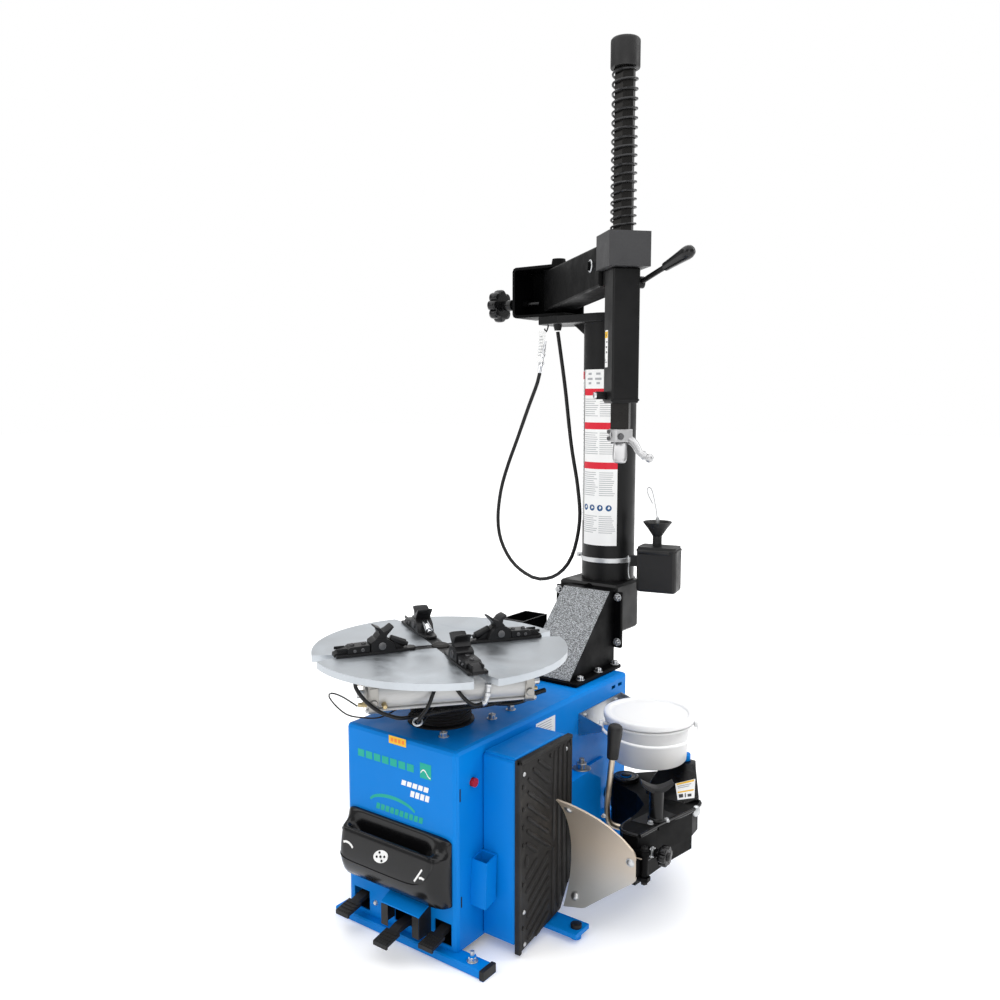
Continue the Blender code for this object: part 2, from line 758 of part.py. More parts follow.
CYL_Z = 0.5760
for label, side in (("front", -1), ("rear", 1)):
    v = side * 0.1080
    barrel = rod(table_point(-0.165, v, CYL_Z), table_point(0.165, v, CYL_Z), 0.0365, sides=20)
    caps = [
        bevelled(
            turn(
                block((u - 0.011, v - 0.039, CYL_Z - 0.039), (u + 0.011, v + 0.039, CYL_Z + 0.039)),
                CYLINDER_ANGLE,
                TABLE_XY,
            ),
            0.006,
        )
        for u in (-0.172, 0.172)
    ]
    stubs = [
        rod(table_point(s * 0.170, v, CYL_Z), table_point(s * 0.205, v, CYL_Z), 0.009)
        for s in (-1, 1)
    ]
    saddle = turn(
        block((-0.022, min(v, side * 0.0485), 0.5650), (0.022, max(v, side * 0.0485), 0.5850)),
        CYLINDER_ANGLE,
        TABLE_XY,
    )
    port_z = CYL_Z - 0.01
    port = rod(table_point(0.100, v, port_z), table_point(0.100, v + side * 0.046, port_z), 0.007)
    body = fuse(barrel, *caps, *stubs, saddle, port)
    node(f"clamp_cylinder_{label}", body, ALLOY, 0.35, 0.6, pivot=TABLE_PIVOT)

hose_band = upright(TABLE_XY, 0.5240, 0.5380, 0.0560, sides=24)
hose_bore = upright(TABLE_XY, 0.51, 0.55, 0.0480 + GAP, sides=24)
air_loops = [
    hose(smooth_route([table_point(*p) for p in route], 0.030), 0.0042, 0)
    for route in (
        ((-0.010, -0.050, 0.531), (-0.020, -0.095, 0.520), (-0.035, -0.150, 0.524), (-0.045, -0.158, 0.560)),
        ((-0.045, -0.030, 0.531), (-0.120, -0.080, 0.516), (-0.190, -0.115, 0.520), (-0.214, -0.108, 0.552)),
        ((0.050, -0.010, 0.531), (0.100, -0.030, 0.520), (0.170, -0.060, 0.522), (0.210, -0.040, 0.540)),
        ((-0.040, 0.035, 0.531), (-0.110, 0.050, 0.520), (-0.185, 0.050, 0.524), (-0.215, 0.010, 0.545)),
    )
]
node("air_hose_ring", carve(fuse(hose_band, *air_loops), hose_bore), BLACK, 0.5, pivot=TABLE_PIVOT)

ring_low = CAB_TOP + 0.0003
collar = turned(
    (
        (0.0330, ring_low),
        (0.0780, ring_low),
        (0.0780, ring_low + 0.003),
        (0.0330, ring_low + 0.003),
    ),
    TABLE_XY,
    28,
)
node("hub_seal_ring", collar, BLACK, 0.5)


def jaw_body(angle):
    """One clamping jaw made along +X from the table's middle, then turned to its slot."""
    r = JAW_R
    half = 0.0235
    top = TABLE_TOP + GAP
    slide = block((r - 0.055, -half, top), (r + 0.112, half, top + 0.0065))
    ramp = prism(
        ((r - 0.050, top), (r + 0.010, top), (r + 0.010, top + 0.036), (r - 0.012, top + 0.030)),
        -0.0060,
        0.0060,
        "Y",
    )
    carrier = bevelled(block((r - 0.008, -0.0260, top + 0.001), (r + 0.030, 0.0260, top + 0.034)), 0.007)
    tail = bevelled(block((r + 0.026, -0.0190, top + 0.001), (r + 0.088, 0.0190, top + 0.021)), 0.005)
    step = prism(
        (
            (r + 0.084, top),
            (r + 0.116, top),
            (r + 0.112, top + 0.009),
            (r + 0.092, top + 0.018),
            (r + 0.084, top + 0.018),
        ),
        -0.0140,
        0.0140,
        "Y",
    )
    claw = prism(
        (
            (r + 0.004, top + 0.030),
            (r + 0.020, top + 0.030),
            (r + 0.013, top + 0.046),
            (r + 0.018, top + 0.060),
            (r + 0.014, top + 0.0625),
            (r + 0.002, top + 0.050),
            (r - 0.013, top + 0.0600),
            (r - 0.016, top + 0.0570),
            (r - 0.003, top + 0.042),
        ),
        -0.0180,
        0.0180,
        "Y",
    )
    pad_rod = rod((r - 0.046, 0, top + 0.011), (r - 0.004, 0, top + 0.026), 0.0085, sides=8)
    stem = block((r - 0.016, -0.0146, plate_bottom - 0.005), (r + 0.044, 0.0146, top + 0.003))
    foot_plate = block((r - 0.020, -0.0230, plate_bottom - 0.0075), (r + 0.048, 0.0230, plate_bottom - GAP))
    pieces = [slide, ramp, carrier, tail, step, claw, pad_rod, stem, foot_plate]
    for piece in pieces:
        turn(piece, angle, TABLE_XY)
    return fuse(pieces[0], *pieces[1:])


for index, angle in enumerate(SLOT_ANGLES):
    a = math.radians(angle)
    at = (TX + JAW_R * math.cos(a), TY + JAW_R * math.sin(a), TABLE_TOP)
    node(f"clamp_jaw_{index + 1}", jaw_body(angle), BLACK, 0.4, 0.5, pivot=at)

# ---- drive inside the cabinet ----------------------------------------------------------------------
gear_case = bevelled(block((-0.075, 0.070, 0.2700), (0.075, 0.260, 0.3900)), 0.008, 1)
gear_neck = upright(TABLE_XY, 0.3890, CAB_TOP - SHEET - GAP, 0.0480, sides=24)
gear_bore = upright(TABLE_XY, 0.4200, 0.4700, 0.0310, sides=24)
worm_nose = upright((0.0, 0.235), 0.2550, 0.2710, 0.0180, sides=20)
node("gearbox", carve(fuse(gear_case, gear_neck, worm_nose), gear_bore), STEEL, 0.5, 0.6)

WORM_XY = (0.0, 0.235)
MOTOR_XY = (0.0, 0.400)
pulley_low, pulley_high = 0.2200, 0.2420
big_pulley = turned(
    (
        (0.0, pulley_low),
        (0.0620, pulley_low),
        (0.0620, pulley_low + 0.003),
        (0.0560, pulley_low + 0.006),
        (0.0560, pulley_high - 0.006),
        (0.0620, pulley_high - 0.003),
        (0.0620, pulley_high),
        (0.0140, pulley_high),
        (0.0140, 0.2547),
        (0.0, 0.2547),
    ),
    WORM_XY,
    24,
)
node("gearbox_pulley", big_pulley, STEEL, 0.4, 0.8, pivot=(*WORM_XY, pulley_low))
small_pulley = turned(
    (
        (0.0, pulley_low),
        (0.0340, pulley_low),
        (0.0340, pulley_low + 0.003),
        (0.0280, pulley_low + 0.006),
        (0.0280, pulley_high - 0.006),
        (0.0340, pulley_high - 0.003),
        (0.0340, pulley_high),
        (0.0110, pulley_high),
        (0.0110, 0.2597),
        (0.0, 0.2597),
    ),
    MOTOR_XY,
    20,
)
node("motor_pulley", small_pulley, STEEL, 0.4, 0.8, pivot=(*MOTOR_XY, pulley_low))

reach = MOTOR_XY[1] - WORM_XY[1]


def belt_outline(big, small):
    """The outline of a belt round the two pulleys."""
    lean = math.degrees(math.asin((big - small) / reach))
    return circle(WORM_XY, big, 20, 180 - lean, 180 + 2 * lean) + circle(
        MOTOR_XY, small, 14, lean, 180 - 2 * lean
    )


belt = prism(belt_outline(0.0605, 0.0325), 0.2265, 0.2355)
belt_gap = prism(belt_outline(0.0563, 0.0283), 0.2200, 0.2400)
node("drive_belt", carve(belt, belt_gap), RUBBER, 0.8)

motor = upright(MOTOR_XY, 0.2650, 0.4300, 0.0620, sides=24)
motor_fins = [
    turn(block((-0.068, -0.0022, 0.285), (0.068, 0.0022, 0.410)), 15 + 30 * k, MOTOR_XY)
    for k in range(6)
]
motor_face = upright(MOTOR_XY, 0.2600, 0.2660, 0.0400, sides=24)
motor_foot = block((-0.045, 0.335, 0.4290), (0.045, 0.465, CAB_TOP - SHEET - GAP))
terminal = bevelled(block((0.052, 0.370, 0.330), (0.092, 0.430, 0.390)), 0.004, 1)
node("drive_motor", fuse(motor, *motor_fins, motor_face, motor_foot, terminal), BLACK, 0.5)

valve = bevelled(block((-0.140, 0.195, 0.060), (0.140, 0.235, 0.120)), 0.004, 1)
valve_ports = [
    rod((x, 0.215, 0.119), (x, 0.215, 0.135), 0.008, sides=8)
    for x in (-0.118, -0.082, 0.090, 0.125)
]
valve_plate = block((-0.150, 0.190, CAB_BOTTOM + 0.001), (0.150, 0.240, 0.0610))
node("valve_block", fuse(valve, *valve_ports, valve_plate), ALLOY, 0.4, 0.6)

# ---- bead breaker cylinder, pivot bracket and arm ----------------------------------------------------
ROD_Y, ROD_Z = 0.640, 0.160
ram = rod((-0.120, ROD_Y, ROD_Z), (0.120, ROD_Y, ROD_Z), 0.0800, sides=24)
ram_caps = [
    rod((x - 0.010, ROD_Y, ROD_Z), (x + 0.010, ROD_Y, ROD_Z), 0.0860, sides=24) for x in (-0.120, 0.120)
]
ram_foot = block((-0.100, 0.590, CAB_BOTTOM + 0.001), (0.100, 0.690, 0.0850))
ram_bore = rod((-0.118, ROD_Y, ROD_Z), (0.1200 + 0.02, ROD_Y, ROD_Z), 0.0140, sides=20)
node("breaker_cylinder", carve(fuse(ram, *ram_caps, ram_foot), ram_bore), ALLOY, 0.35, 0.6)
piston_rod = rod((-0.020, ROD_Y, ROD_Z), (0.2480, ROD_Y, ROD_Z), 0.0130, sides=20)
rod_tip = ball((0.2490, ROD_Y, ROD_Z), 0.0165, 12)
node("breaker_rod", fuse(piston_rod, rod_tip), STEEL, 0.25, 1.0, pivot=(0.2490, ROD_Y, ROD_Z))

BX, BY = BREAKER_XY
fork_low = prism(
    (
        (CAB_HALF_W + GAP, 0.506),
        (0.264, 0.518),
        (0.300, 0.545),
        (0.300, 0.572),
        (0.264, 0.600),
        (CAB_HALF_W + GAP, 0.605),
    ),
    ARM_LOW - 0.0140,
    ARM_LOW - GAP,
)
fork_back = block((CAB_HALF_W + GAP, 0.506, 0.080), (CAB_HALF_W + 0.008, 0.605, 0.2700))
pivot_pin = upright(BREAKER_XY, ARM_LOW - 0.012, ARM_HIGH + 0.0110, 0.0140, sides=20)
node("breaker_bracket", fuse(fork_low, fork_back, pivot_pin), BLACK, 0.4)

breaker_pivot = (BX, BY, ARM_HIGH)
upper = prism(
    [
        (0.381, 0.3160),
        (0.400, 0.2960),
        (0.437, 0.2960),
        (0.4470, 0.363),
        (0.4720, 0.500),
        (0.4680, 0.540),
        (0.4200, 0.630),
        (0.4000, 0.672),
        (0.3300, 0.672),
    ]
    + circle(BREAKER_XY, 0.0380, 12, 105, 160)
    + [(0.330, 0.490), (0.372, 0.448), (0.381, 0.400)],
    0.1800,
    ARM_HIGH,
)
lower = prism(
    [
        (0.385, 0.3200),
        (0.3950, 0.3000),
        (0.4300, 0.3000),
        (0.4400, 0.4400),
        (0.4560, 0.5350),
        (0.4100, 0.6200),
        (0.3400, 0.6400),
    ]
    + circle(BREAKER_XY, 0.0360, 12, 105, 160)
    + [(0.330, 0.495), (0.376, 0.450), (0.385, 0.410)],
    ARM_LOW,
    0.1810,
)
flange = prism(
    (
        (0.4450, 0.363),
        (0.4560, 0.360),
        (0.4800, 0.497),
        (0.4770, 0.540),
        (0.4660, 0.545),
        (0.4400, 0.500),
    ),
    ARM_HIGH - 0.008,
    ARM_HIGH - 0.0005,
)
boss = upright(BREAKER_XY, 0.2400, ARM_HIGH + 0.0060, 0.0340, 0.0320, 28)
pin_bore = upright(BREAKER_XY, 0.10, 0.30, 0.0140 + GAP, sides=20)
t_bore = upright((0.4345, 0.3880), 0.17, 0.30, 0.0125 + GAP, sides=20)
knob_bore = rod((0.415, 0.3460, 0.1950), (0.480, 0.3460, 0.1950), 0.0056)
tip_lugs = [
    prism(
        (
            (0.425, 0.2920),
            (0.452, 0.2880),
            (0.464, 0.2930),
            (0.464, 0.3070),
            (0.452, 0.3130),
            (0.425, 0.3300),
        ),
        z,
        z + 0.009,
    )
    for z in (0.1500, 0.2100)
]
slot_in_arm = block((0.395, 0.290, 0.1595), (0.470, 0.316, 0.2095))
rod_lug = block((0.2670, 0.626, 0.1450), (0.3550, 0.652, 0.1790))
rod_web = block((0.3300, 0.600, 0.1450), (0.3550, 0.652, 0.1790))
arm_node = fuse(upper, lower, flange, boss, rod_lug, rod_web, *tip_lugs)
hinge_bore = upright(BLADE_HINGE_XY, 0.14, 0.23, 0.0052, sides=12)
carve(arm_node, slot_in_arm, pin_bore, t_bore, knob_bore, hinge_bore)
node("breaker_arm", arm_node, BLACK, 0.35, pivot=breaker_pivot)

hood = prism(
    (
        (0.505, ARM_HIGH + GAP),
        (0.672, ARM_HIGH + GAP),
        (0.672, 0.2960),
        (0.640, 0.2960),
        (0.520, ARM_HIGH + 0.005),
    ),
    0.335,
    0.475,
    "X",
)
hood_outline = prism(
    (
        (0.345, 0.500),
        (0.444, 0.500),
        (0.470, 0.540),
        (0.420, 0.630),
        (0.400, 0.672),
        (0.335, 0.672),
        (0.335, 0.560),
    ),
    0.24,
    0.32,
)
boolean(hood, hood_outline, "INTERSECT")
node("breaker_hood", hood, BLACK, 0.4, pivot=breaker_pivot)

BLADE_T = 0.0050


def blade_arc(radius, low, high, steps=14):
    """Points (y, z) down the blade's arc between two heights."""
    cy, cz = BLADE_ARC_YZ
    start = math.asin((low - cz) / radius)
    stop = math.asin((high - cz) / radius)
    return [
        (
            cy + radius * math.cos(start + (stop - start) * i / steps),
            cz + radius * math.sin(start + (stop - start) * i / steps),
        )
        for i in range(steps + 1)
    ]


sheet = prism(
    blade_arc(BLADE_R, 0.040, 0.340) + blade_arc(BLADE_R - BLADE_T, 0.340, 0.040),
    0.270,
    0.460,
    "X",
)
blade_outline = prism(
    (
        (0.2790, 0.3220),
        (0.3100, 0.3170),
        (0.3400, 0.3060),
        (0.3680, 0.2920),
        (0.3930, 0.2740),
        (0.4200, 0.2500),
        (0.4450, 0.2220),
        (0.4450, 0.1530),
        (0.3310, 0.0680),
        (0.2790, 0.0580),
    ),
    0.20,
    0.30,
    "Y",
)
boolean(sheet, blade_outline, "INTERSECT")
blade_back = block((0.418, 0.2740, 0.1650), (0.446, 0.3000, 0.2040))
blade_knuckle = upright(BLADE_HINGE_XY, 0.1600, 0.2090, 0.0085, sides=16)
knuckle_web = block((0.440, 0.2940, 0.1650), (0.455, 0.3040, 0.2040))
blade_pin = upright(BLADE_HINGE_XY, 0.1440, 0.2250, 0.0049, sides=12)
blade_bolts = [
    rod((x, y - 0.007, z), (x, y + 0.004, z), 0.006, sides=10)
    for x, y, z in ((0.2960, 0.2335, 0.2960), (0.4320, 0.2760, 0.1960), (0.3020, 0.2540, 0.0840))
]
blade = fuse(sheet, blade_back, knuckle_web, blade_knuckle, blade_pin, *blade_bolts)
node("breaker_blade", blade, STEEL, 0.3, 1.0, pivot=(*BLADE_HINGE_XY, 0.1850))

handle_route = smooth_route(
    (
        (0.378, 0.405, 0.205),
        (0.350, 0.392, 0.206),
        (0.326, 0.366, 0.222),
        (0.324, 0.356, 0.262),
        (0.332, 0.352, 0.330),
        (0.341, 0.350, 0.395),
    ),
    0.018,
)
handle_rod = hose(handle_route, 0.0070, 1)
carve(handle_rod, block((0.3807, 0.380, 0.18), (0.40, 0.43, 0.23)))
grip_start, grip_end = Vector((0.3405, 0.3500, 0.392)), Vector((0.3458, 0.3500, 0.452))
grip = rod(grip_start, grip_end, 0.0135, 0.0175, 16)
grip_tip = ball(grip_end, 0.0172, 12)
node("breaker_handle", fuse(handle_rod, grip, grip_tip), BLACK, 0.4, pivot=breaker_pivot)

T_XY = (0.4345, 0.3880)
t_shaft = upright(T_XY, 0.1950, 0.3290, 0.0125, sides=20)
t_shoulder = upright(T_XY, ARM_HIGH + GAP, 0.2600, 0.0190, sides=20)
t_post = upright(T_XY, 0.2590, 0.3240, 0.0165, sides=20)
saddle_profile = [
    (-0.036, 0.3450),
    (-0.028, 0.3380),
    (-0.014, 0.3320),
    (0.0, 0.3300),
    (0.014, 0.3320),
    (0.028, 0.3380),
    (0.036, 0.3450),
    (0.036, 0.3370),
    (0.018, 0.3160),
    (-0.018, 0.3160),
    (-0.036, 0.3370),
]
saddle = bevelled(prism(saddle_profile, -0.0140, 0.0140, "Y"), 0.003, 1)
turn(saddle, 36.0, T_XY)
node("breaker_t_pin", fuse(t_shaft, t_shoulder, t_post, saddle), BLACK, 0.35, pivot=(*T_XY, ARM_HIGH))


def star_knob(centre, direction, radius, depth, lobes=7):
    """A lobed handwheel about an axis, with its face along the direction."""
    rim = [
        (
            radius * (0.86 + 0.14 * math.cos(lobes * t)) * math.cos(t),
            radius * (0.86 + 0.14 * math.cos(lobes * t)) * math.sin(t),
        )
        for t in [math.tau * i / (lobes * 4) for i in range(lobes * 4)]
    ]
    wheel = bevelled(prism(rim, -depth / 2, depth / 2), depth * 0.18, 1, 60)
    place = Matrix.Translation(centre) @ Vector(direction).to_track_quat("Z", "Y").to_matrix().to_4x4()
    wheel.data.transform(place)
    return wheel


knob_y, knob_z = 0.3460, 0.1950
breaker_knob = star_knob((0.4780, knob_y, knob_z), (1, 0, 0), 0.0235, 0.018, 6)
knob_stem = rod((0.4520, knob_y, knob_z), (0.4720, knob_y, knob_z), 0.0100)
knob_screw = rod((0.4180, knob_y, knob_z), (0.4540, knob_y, knob_z), 0.0050)
node(
    "breaker_star_knob",
    fuse(breaker_knob, knob_stem, knob_screw),
    BLACK,
    0.4,
    pivot=(0.4780, knob_y, knob_z),
)

# ---- pedals and button -------------------------------------------------------------------------------
PEDAL_AXLE = (0.150, 0.070)
PEDALS = (("left", -0.1385, -0.067), ("centre", 0.0155, -0.105), ("right", 0.1020, -0.057))
for label, x0, nose in PEDALS:
    x1 = x0 + 0.0390
    mid = (x0 + x1) / 2
    ay, az = PEDAL_AXLE
    tread = prism(
        (
            (nose, 0.0400),
            (nose, 0.0495),
            (nose + 0.043, 0.0585),
            (nose + 0.043, 0.0515),
            (nose + 0.005, 0.0440),
            (nose + 0.005, 0.0400),
        ),
        x0,
        x1,
        "X",
    )
    ridges = []
    for k in range(4):
        y = nose + 0.003 + 0.0092 * k
        z = 0.0501 + 0.0019 * k
        outline = (
            (y, z - 0.003),
            (y + 0.001, z + 0.0022),
            (y + 0.004, z + 0.0028),
            (y + 0.0055, z - 0.002),
        )
        ridges.append(prism(outline, x0 + 0.002, x1 - 0.002, "X"))
    lever = prism(
        (
            (nose + 0.038, 0.0520),
            (0.030, 0.0560),
            (ay, az - 0.010),
            (ay, az + 0.010),
            (0.030, 0.0720),
            (nose + 0.060, 0.0640),
            (nose + 0.038, 0.0570),
        ),
        mid - 0.012,
        mid + 0.012,
        "X",
    )
    axle = rod((mid - 0.020, ay, az), (mid + 0.020, ay, az), 0.011)
    node(f"pedal_{label}", fuse(tread, *ridges, lever, axle), BLACK, 0.5, pivot=(mid, ay, az))

button_y, button_z = 0.056, 0.386
button_at = Vector((CAB_HALF_W, button_y, button_z))
button = rod(button_at - Vector((0.008, 0, 0)), button_at + Vector((0.0090, 0, 0)), 0.0085)
button_lip = rod(button_at + Vector((0.0040, 0, 0)), button_at + Vector((0.0088, 0, 0)), 0.0098)
node("stop_button", fuse(button, button_lip), RED, 0.4, pivot=button_at)

# ---- swing arm ---------------------------------------------------------------------------------------
PX, PY = PIVOT_XY
arm_pivot = (PX, PY, 1.5185)
housing_outline = [
    (-0.0990, 1.4433),
    (-0.2710, 1.4433),
    (-0.2795, 1.4468),
    (-0.2830, 1.4553),
    (-0.2830, 1.5780),
    (-0.2795, 1.5865),
    (-0.2710, 1.5900),
    (-0.0990, 1.5900),
    (-0.0990, 1.5820),
    (-0.2690, 1.5820),
    (-0.2750, 1.5760),
    (-0.2750, 1.4575),
    (-0.2690, 1.4515),
    (-0.0990, 1.4515),
]
pivot_housing = prism(housing_outline, 0.8200, 0.9240, "Y")
rear_wall = block((-0.2760, 0.9180, 1.4500), (-0.0990, 0.9240, 1.5830))
housing_cap = upright(PIVOT_XY, 1.5890, 1.6110, 0.0230, 0.0190, 20)
pin = upright(PIVOT_XY, 1.4260, 1.5900, 0.0120, sides=20)
stop_bush = rod((-0.2950, PY, 1.4880), (-0.2600, PY, 1.4880), 0.0110, sides=16)
stop_bore = rod((-0.31, PY, 1.4880), (-0.25, PY, 1.4880), 0.0063, sides=16)
pivot_node = carve(fuse(pivot_housing, rear_wall, housing_cap, pin, stop_bush), stop_bore)
node("arm_pivot_housing", pivot_node, BLACK, 0.3)

beam_profile = ((0.0, 1.4600), (0.0, 1.5770), (0.525, 1.5700), (0.525, 1.4720))
beam = bevelled(prism(beam_profile, -0.0420, 0.0420, "Y"), 0.006, 2)
turn(beam, ARM_ANGLE, PIVOT_XY)
eye = upright(PIVOT_XY, 1.4600, 1.5770, 0.0430, sides=28)
eye_bore = upright(PIVOT_XY, 1.44, 1.60, 0.0120 + GAP, sides=20)
side_pin = rod(arm_point(0.455, -0.040, 1.5290), arm_point(0.455, -0.052, 1.5290), 0.0110, sides=16)
node("swing_arm", carve(fuse(beam, eye, side_pin), eye_bore), BLACK, 0.35, pivot=arm_pivot)

knob = star_knob((-0.3680, PY, 1.4880), (-1, 0, 0), 0.0500, 0.030, 7)
knob_hub = rod((-0.3180, PY, 1.4880), (-0.3560, PY, 1.4880), 0.0150, sides=16)
knob_rod = rod((-0.2200, PY, 1.4880), (-0.3300, PY, 1.4880), 0.0060, sides=16)
node("arm_star_knob", fuse(knob, knob_hub, knob_rod), BLACK, 0.4, pivot=(-0.3680, PY, 1.4880))

HX, HY = HEX_XY
lock = turn(
    prism(
        (
            (-0.0460, -0.0500),
            (0.0520, -0.0500),
            (0.0520, 0.0500),
            (-0.0460, 0.0500),
        ),
        BLOCK_BOTTOM,
        BLOCK_TOP,
    ),
    ARM_ANGLE,
    HEX_XY,
)
hex_turn = ARM_ANGLE + 30.0


def hex_prism(across_flats, z0, z1):
    """An upright hexagon bar on the tool axis."""
    return turn(prism(circle((0, 0), across_flats / math.sqrt(3), 6), z0, z1), hex_turn, HEX_XY)


lock_bore = hex_prism(HEX_AF + 0.0008, 1.45, 1.62)
node("bar_lock_block", carve(lock, lock_bore), BLACK, 0.35, pivot=arm_pivot)

sleeve_ends = (ARM_REACH - 0.0330, ARM_REACH + 0.0330)
sleeve = arm_block(*sleeve_ends, -0.0330, 0.0330, SLEEVE_BOTTOM, BLOCK_BOTTOM - GAP)
bevelled(sleeve, 0.004, 2)
sleeve_web = arm_block(0.5255, ARM_REACH - 0.0320, -0.0330, 0.0330, 1.4740, BLOCK_BOTTOM - GAP)
sleeve_bore = hex_prism(HEX_AF + 0.0008, 1.15, 1.55)
clamp_screw = rod(
    arm_point(ARM_REACH - 0.014, -0.0320, SLEEVE_BOTTOM + 0.018),
    arm_point(ARM_REACH - 0.014, -0.0560, SLEEVE_BOTTOM + 0.018),
    0.0085,
    sides=12,
)
node("bar_sleeve", carve(fuse(sleeve, sleeve_web, clamp_screw), sleeve_bore), BLACK, 0.35, pivot=arm_pivot)

LEVER_Z = 1.4780
lever_hinge = Vector(arm_point(ARM_REACH, 0.0450, LEVER_Z))
lever_foot = Vector(arm_point(ARM_REACH, 0.0333, LEVER_Z))
lever_hub = rod(lever_foot, arm_point(ARM_REACH, 0.0520, LEVER_Z), 0.0140, sides=16)
lever_end = Vector(arm_point(0.700, 0.0550, 1.4970))
lever_tip = Vector(arm_point(0.775, 0.0780, 1.5190))
lever_arm = hose([lever_hinge, Vector(arm_point(0.620, 0.0450, 1.4830)), lever_end], 0.0065, 1)
lever_grip = rod(lever_end, lever_tip, 0.0105, 0.0150, 16)
lever_ball = ball(lever_tip, 0.0148, 12)
node("bar_lock_lever", fuse(lever_hub, lever_arm, lever_grip, lever_ball), BLACK, 0.35, pivot=lever_hinge)

bar = hex_prism(HEX_AF, HEX_BOTTOM, HEX_TOP)
BAR_PIVOT = (HX, HY, HEX_BOTTOM)
node("hex_bar", bar, BLACK, 0.3, 0.6, pivot=BAR_PIVOT)

cap = turned(
    (
        (0.0, 2.0200),
        (0.0290, 2.0200),
        (0.0340, 2.0150),
        (0.0340, 1.9540),
        (0.0260, 1.9540),
        (0.0260, HEX_TOP + GAP),
        (0.0, HEX_TOP + GAP),
    ),
    HEX_XY,
    24,
)
node("bar_cap", cap, BLACK, 0.4, pivot=BAR_PIVOT)

COIL_R = 0.0283
spring_low, spring_high = BLOCK_TOP + 0.0028, 1.9510
coil = []
for i in range(SPRING_TURNS * 10 + 1):
    share = i / (SPRING_TURNS * 10)
    eased = share + 0.10 * share * (share - 1.0)
    a = math.tau * i / 10
    z = spring_low + (spring_high - spring_low) * eased
    coil.append(Vector((HX + COIL_R * math.cos(a), HY + COIL_R * math.sin(a), z)))
node("bar_spring", hose(coil, 0.0021, 0), BLACK, 0.4, 0.5, pivot=(HX, HY, BLOCK_TOP))

# The mounting head clamps round the bar's foot and carries the duck-bill and the finger.
head_z = HEX_BOTTOM - GAP
head = bevelled(
    turn(block((-0.0240, -0.0230, head_z - 0.0300), (0.0260, 0.0230, head_z)), ARM_ANGLE, HEX_XY),
    0.004,
    2,
)
bill = turn(
    prism(
        (
            (-0.0100, 1.1080),
            (0.0220, 1.1080),
            (0.0300, 1.0860),
            (0.0420, 1.0600),
            (0.0360, 1.0560),
            (0.0160, 1.0740),
            (-0.0060, 1.0900),
        ),
        -0.0170,
        0.0170,
        "Y",
    ),
    ARM_ANGLE - 20,
    HEX_XY,
)
finger_route = smooth_route(
    [
        (*along_arm(ARM_REACH + 0.005, 0.010), 1.1180),
        (*along_arm(ARM_REACH + 0.030, 0.026), 1.1080),
        (*along_arm(ARM_REACH + 0.052, 0.040), 1.0900),
        (*along_arm(ARM_REACH + 0.062, 0.050), 1.0700),
    ],
    0.012,
)
finger = hose(finger_route, 0.0075, 1)
finger_end = ball(finger_route[-1], 0.0115, 10)
hole_u = ARM_REACH + 0.002
head_hole = rod(arm_point(hole_u, -0.05, 1.1220), arm_point(hole_u, 0.002, 1.1220), 0.0060)
head_node = carve(fuse(head, bill, finger, finger_end), head_hole)
node("mount_head", head_node, ALLOY, 0.3, 0.9, pivot=BAR_PIVOT)

# ---- inflation hose ------------------------------------------------------------------------------------
HOSE_R = 0.0055
hose_points = (
    (-0.1420, 0.850, 1.4000),
    (-0.1330, 0.850, 1.3480),
    (-0.1160, 0.853, 1.2323),
    (-0.0960, 0.855, 1.0752),
    (-0.0740, 0.858, 0.9500),
    (-0.0680, 0.860, 0.8477),
    (-0.0930, 0.860, 0.7438),
    (-0.1419, 0.860, 0.6842),
    (-0.2069, 0.860, 0.6614),
    (-0.2626, 0.860, 0.6737),
    (-0.3158, 0.860, 0.7087),
    (-0.3544, 0.860, 0.7680),
    (-0.3661, 0.860, 0.8364),
    (-0.3544, 0.860, 0.9250),
    (-0.3277, 0.860, 1.0039),
    (-0.2919, 0.858, 1.0835),
    (-0.2461, 0.856, 1.1881),
    (-0.2140, 0.853, 1.2560),
    (-0.2000, 0.850, 1.3030),
)
hose_route = smooth_route(hose_points, 0.0245)
inflation = hose_curve("inflation_hose", hose_route, HOSE_R, 1)
rubber = bpy.data.materials.new("inflation_hose")
rubber.use_nodes = True
rubber.node_tree.nodes["Principled BSDF"].inputs["Base Color"].default_value = (*RUBBER, 1.0)
rubber.node_tree.nodes["Principled BSDF"].inputs["Roughness"].default_value = 0.5
inflation.data.materials.append(rubber)
PARTS.objects.link(inflation)

hose_way = (hose_route[-1] - hose_route[-2]).normalized()
coupler_base = hose_route[-1] + hose_way * GAP
coupler_top = coupler_base + hose_way * 0.030
coupler = rod(coupler_base, coupler_top, 0.0080)
coupler_nose = rod(coupler_top - hose_way * 0.002, Vector((-0.1810, 0.8480, 1.3970)), 0.0050, 0.0040)
node("hose_connector", fuse(coupler, coupler_nose), STEEL, 0.3, 1.0)
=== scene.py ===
"""Looks for the tyre changer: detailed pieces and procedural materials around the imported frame."""

import math
import random

import bmesh
import bpy
from mathutils import Matrix, Vector


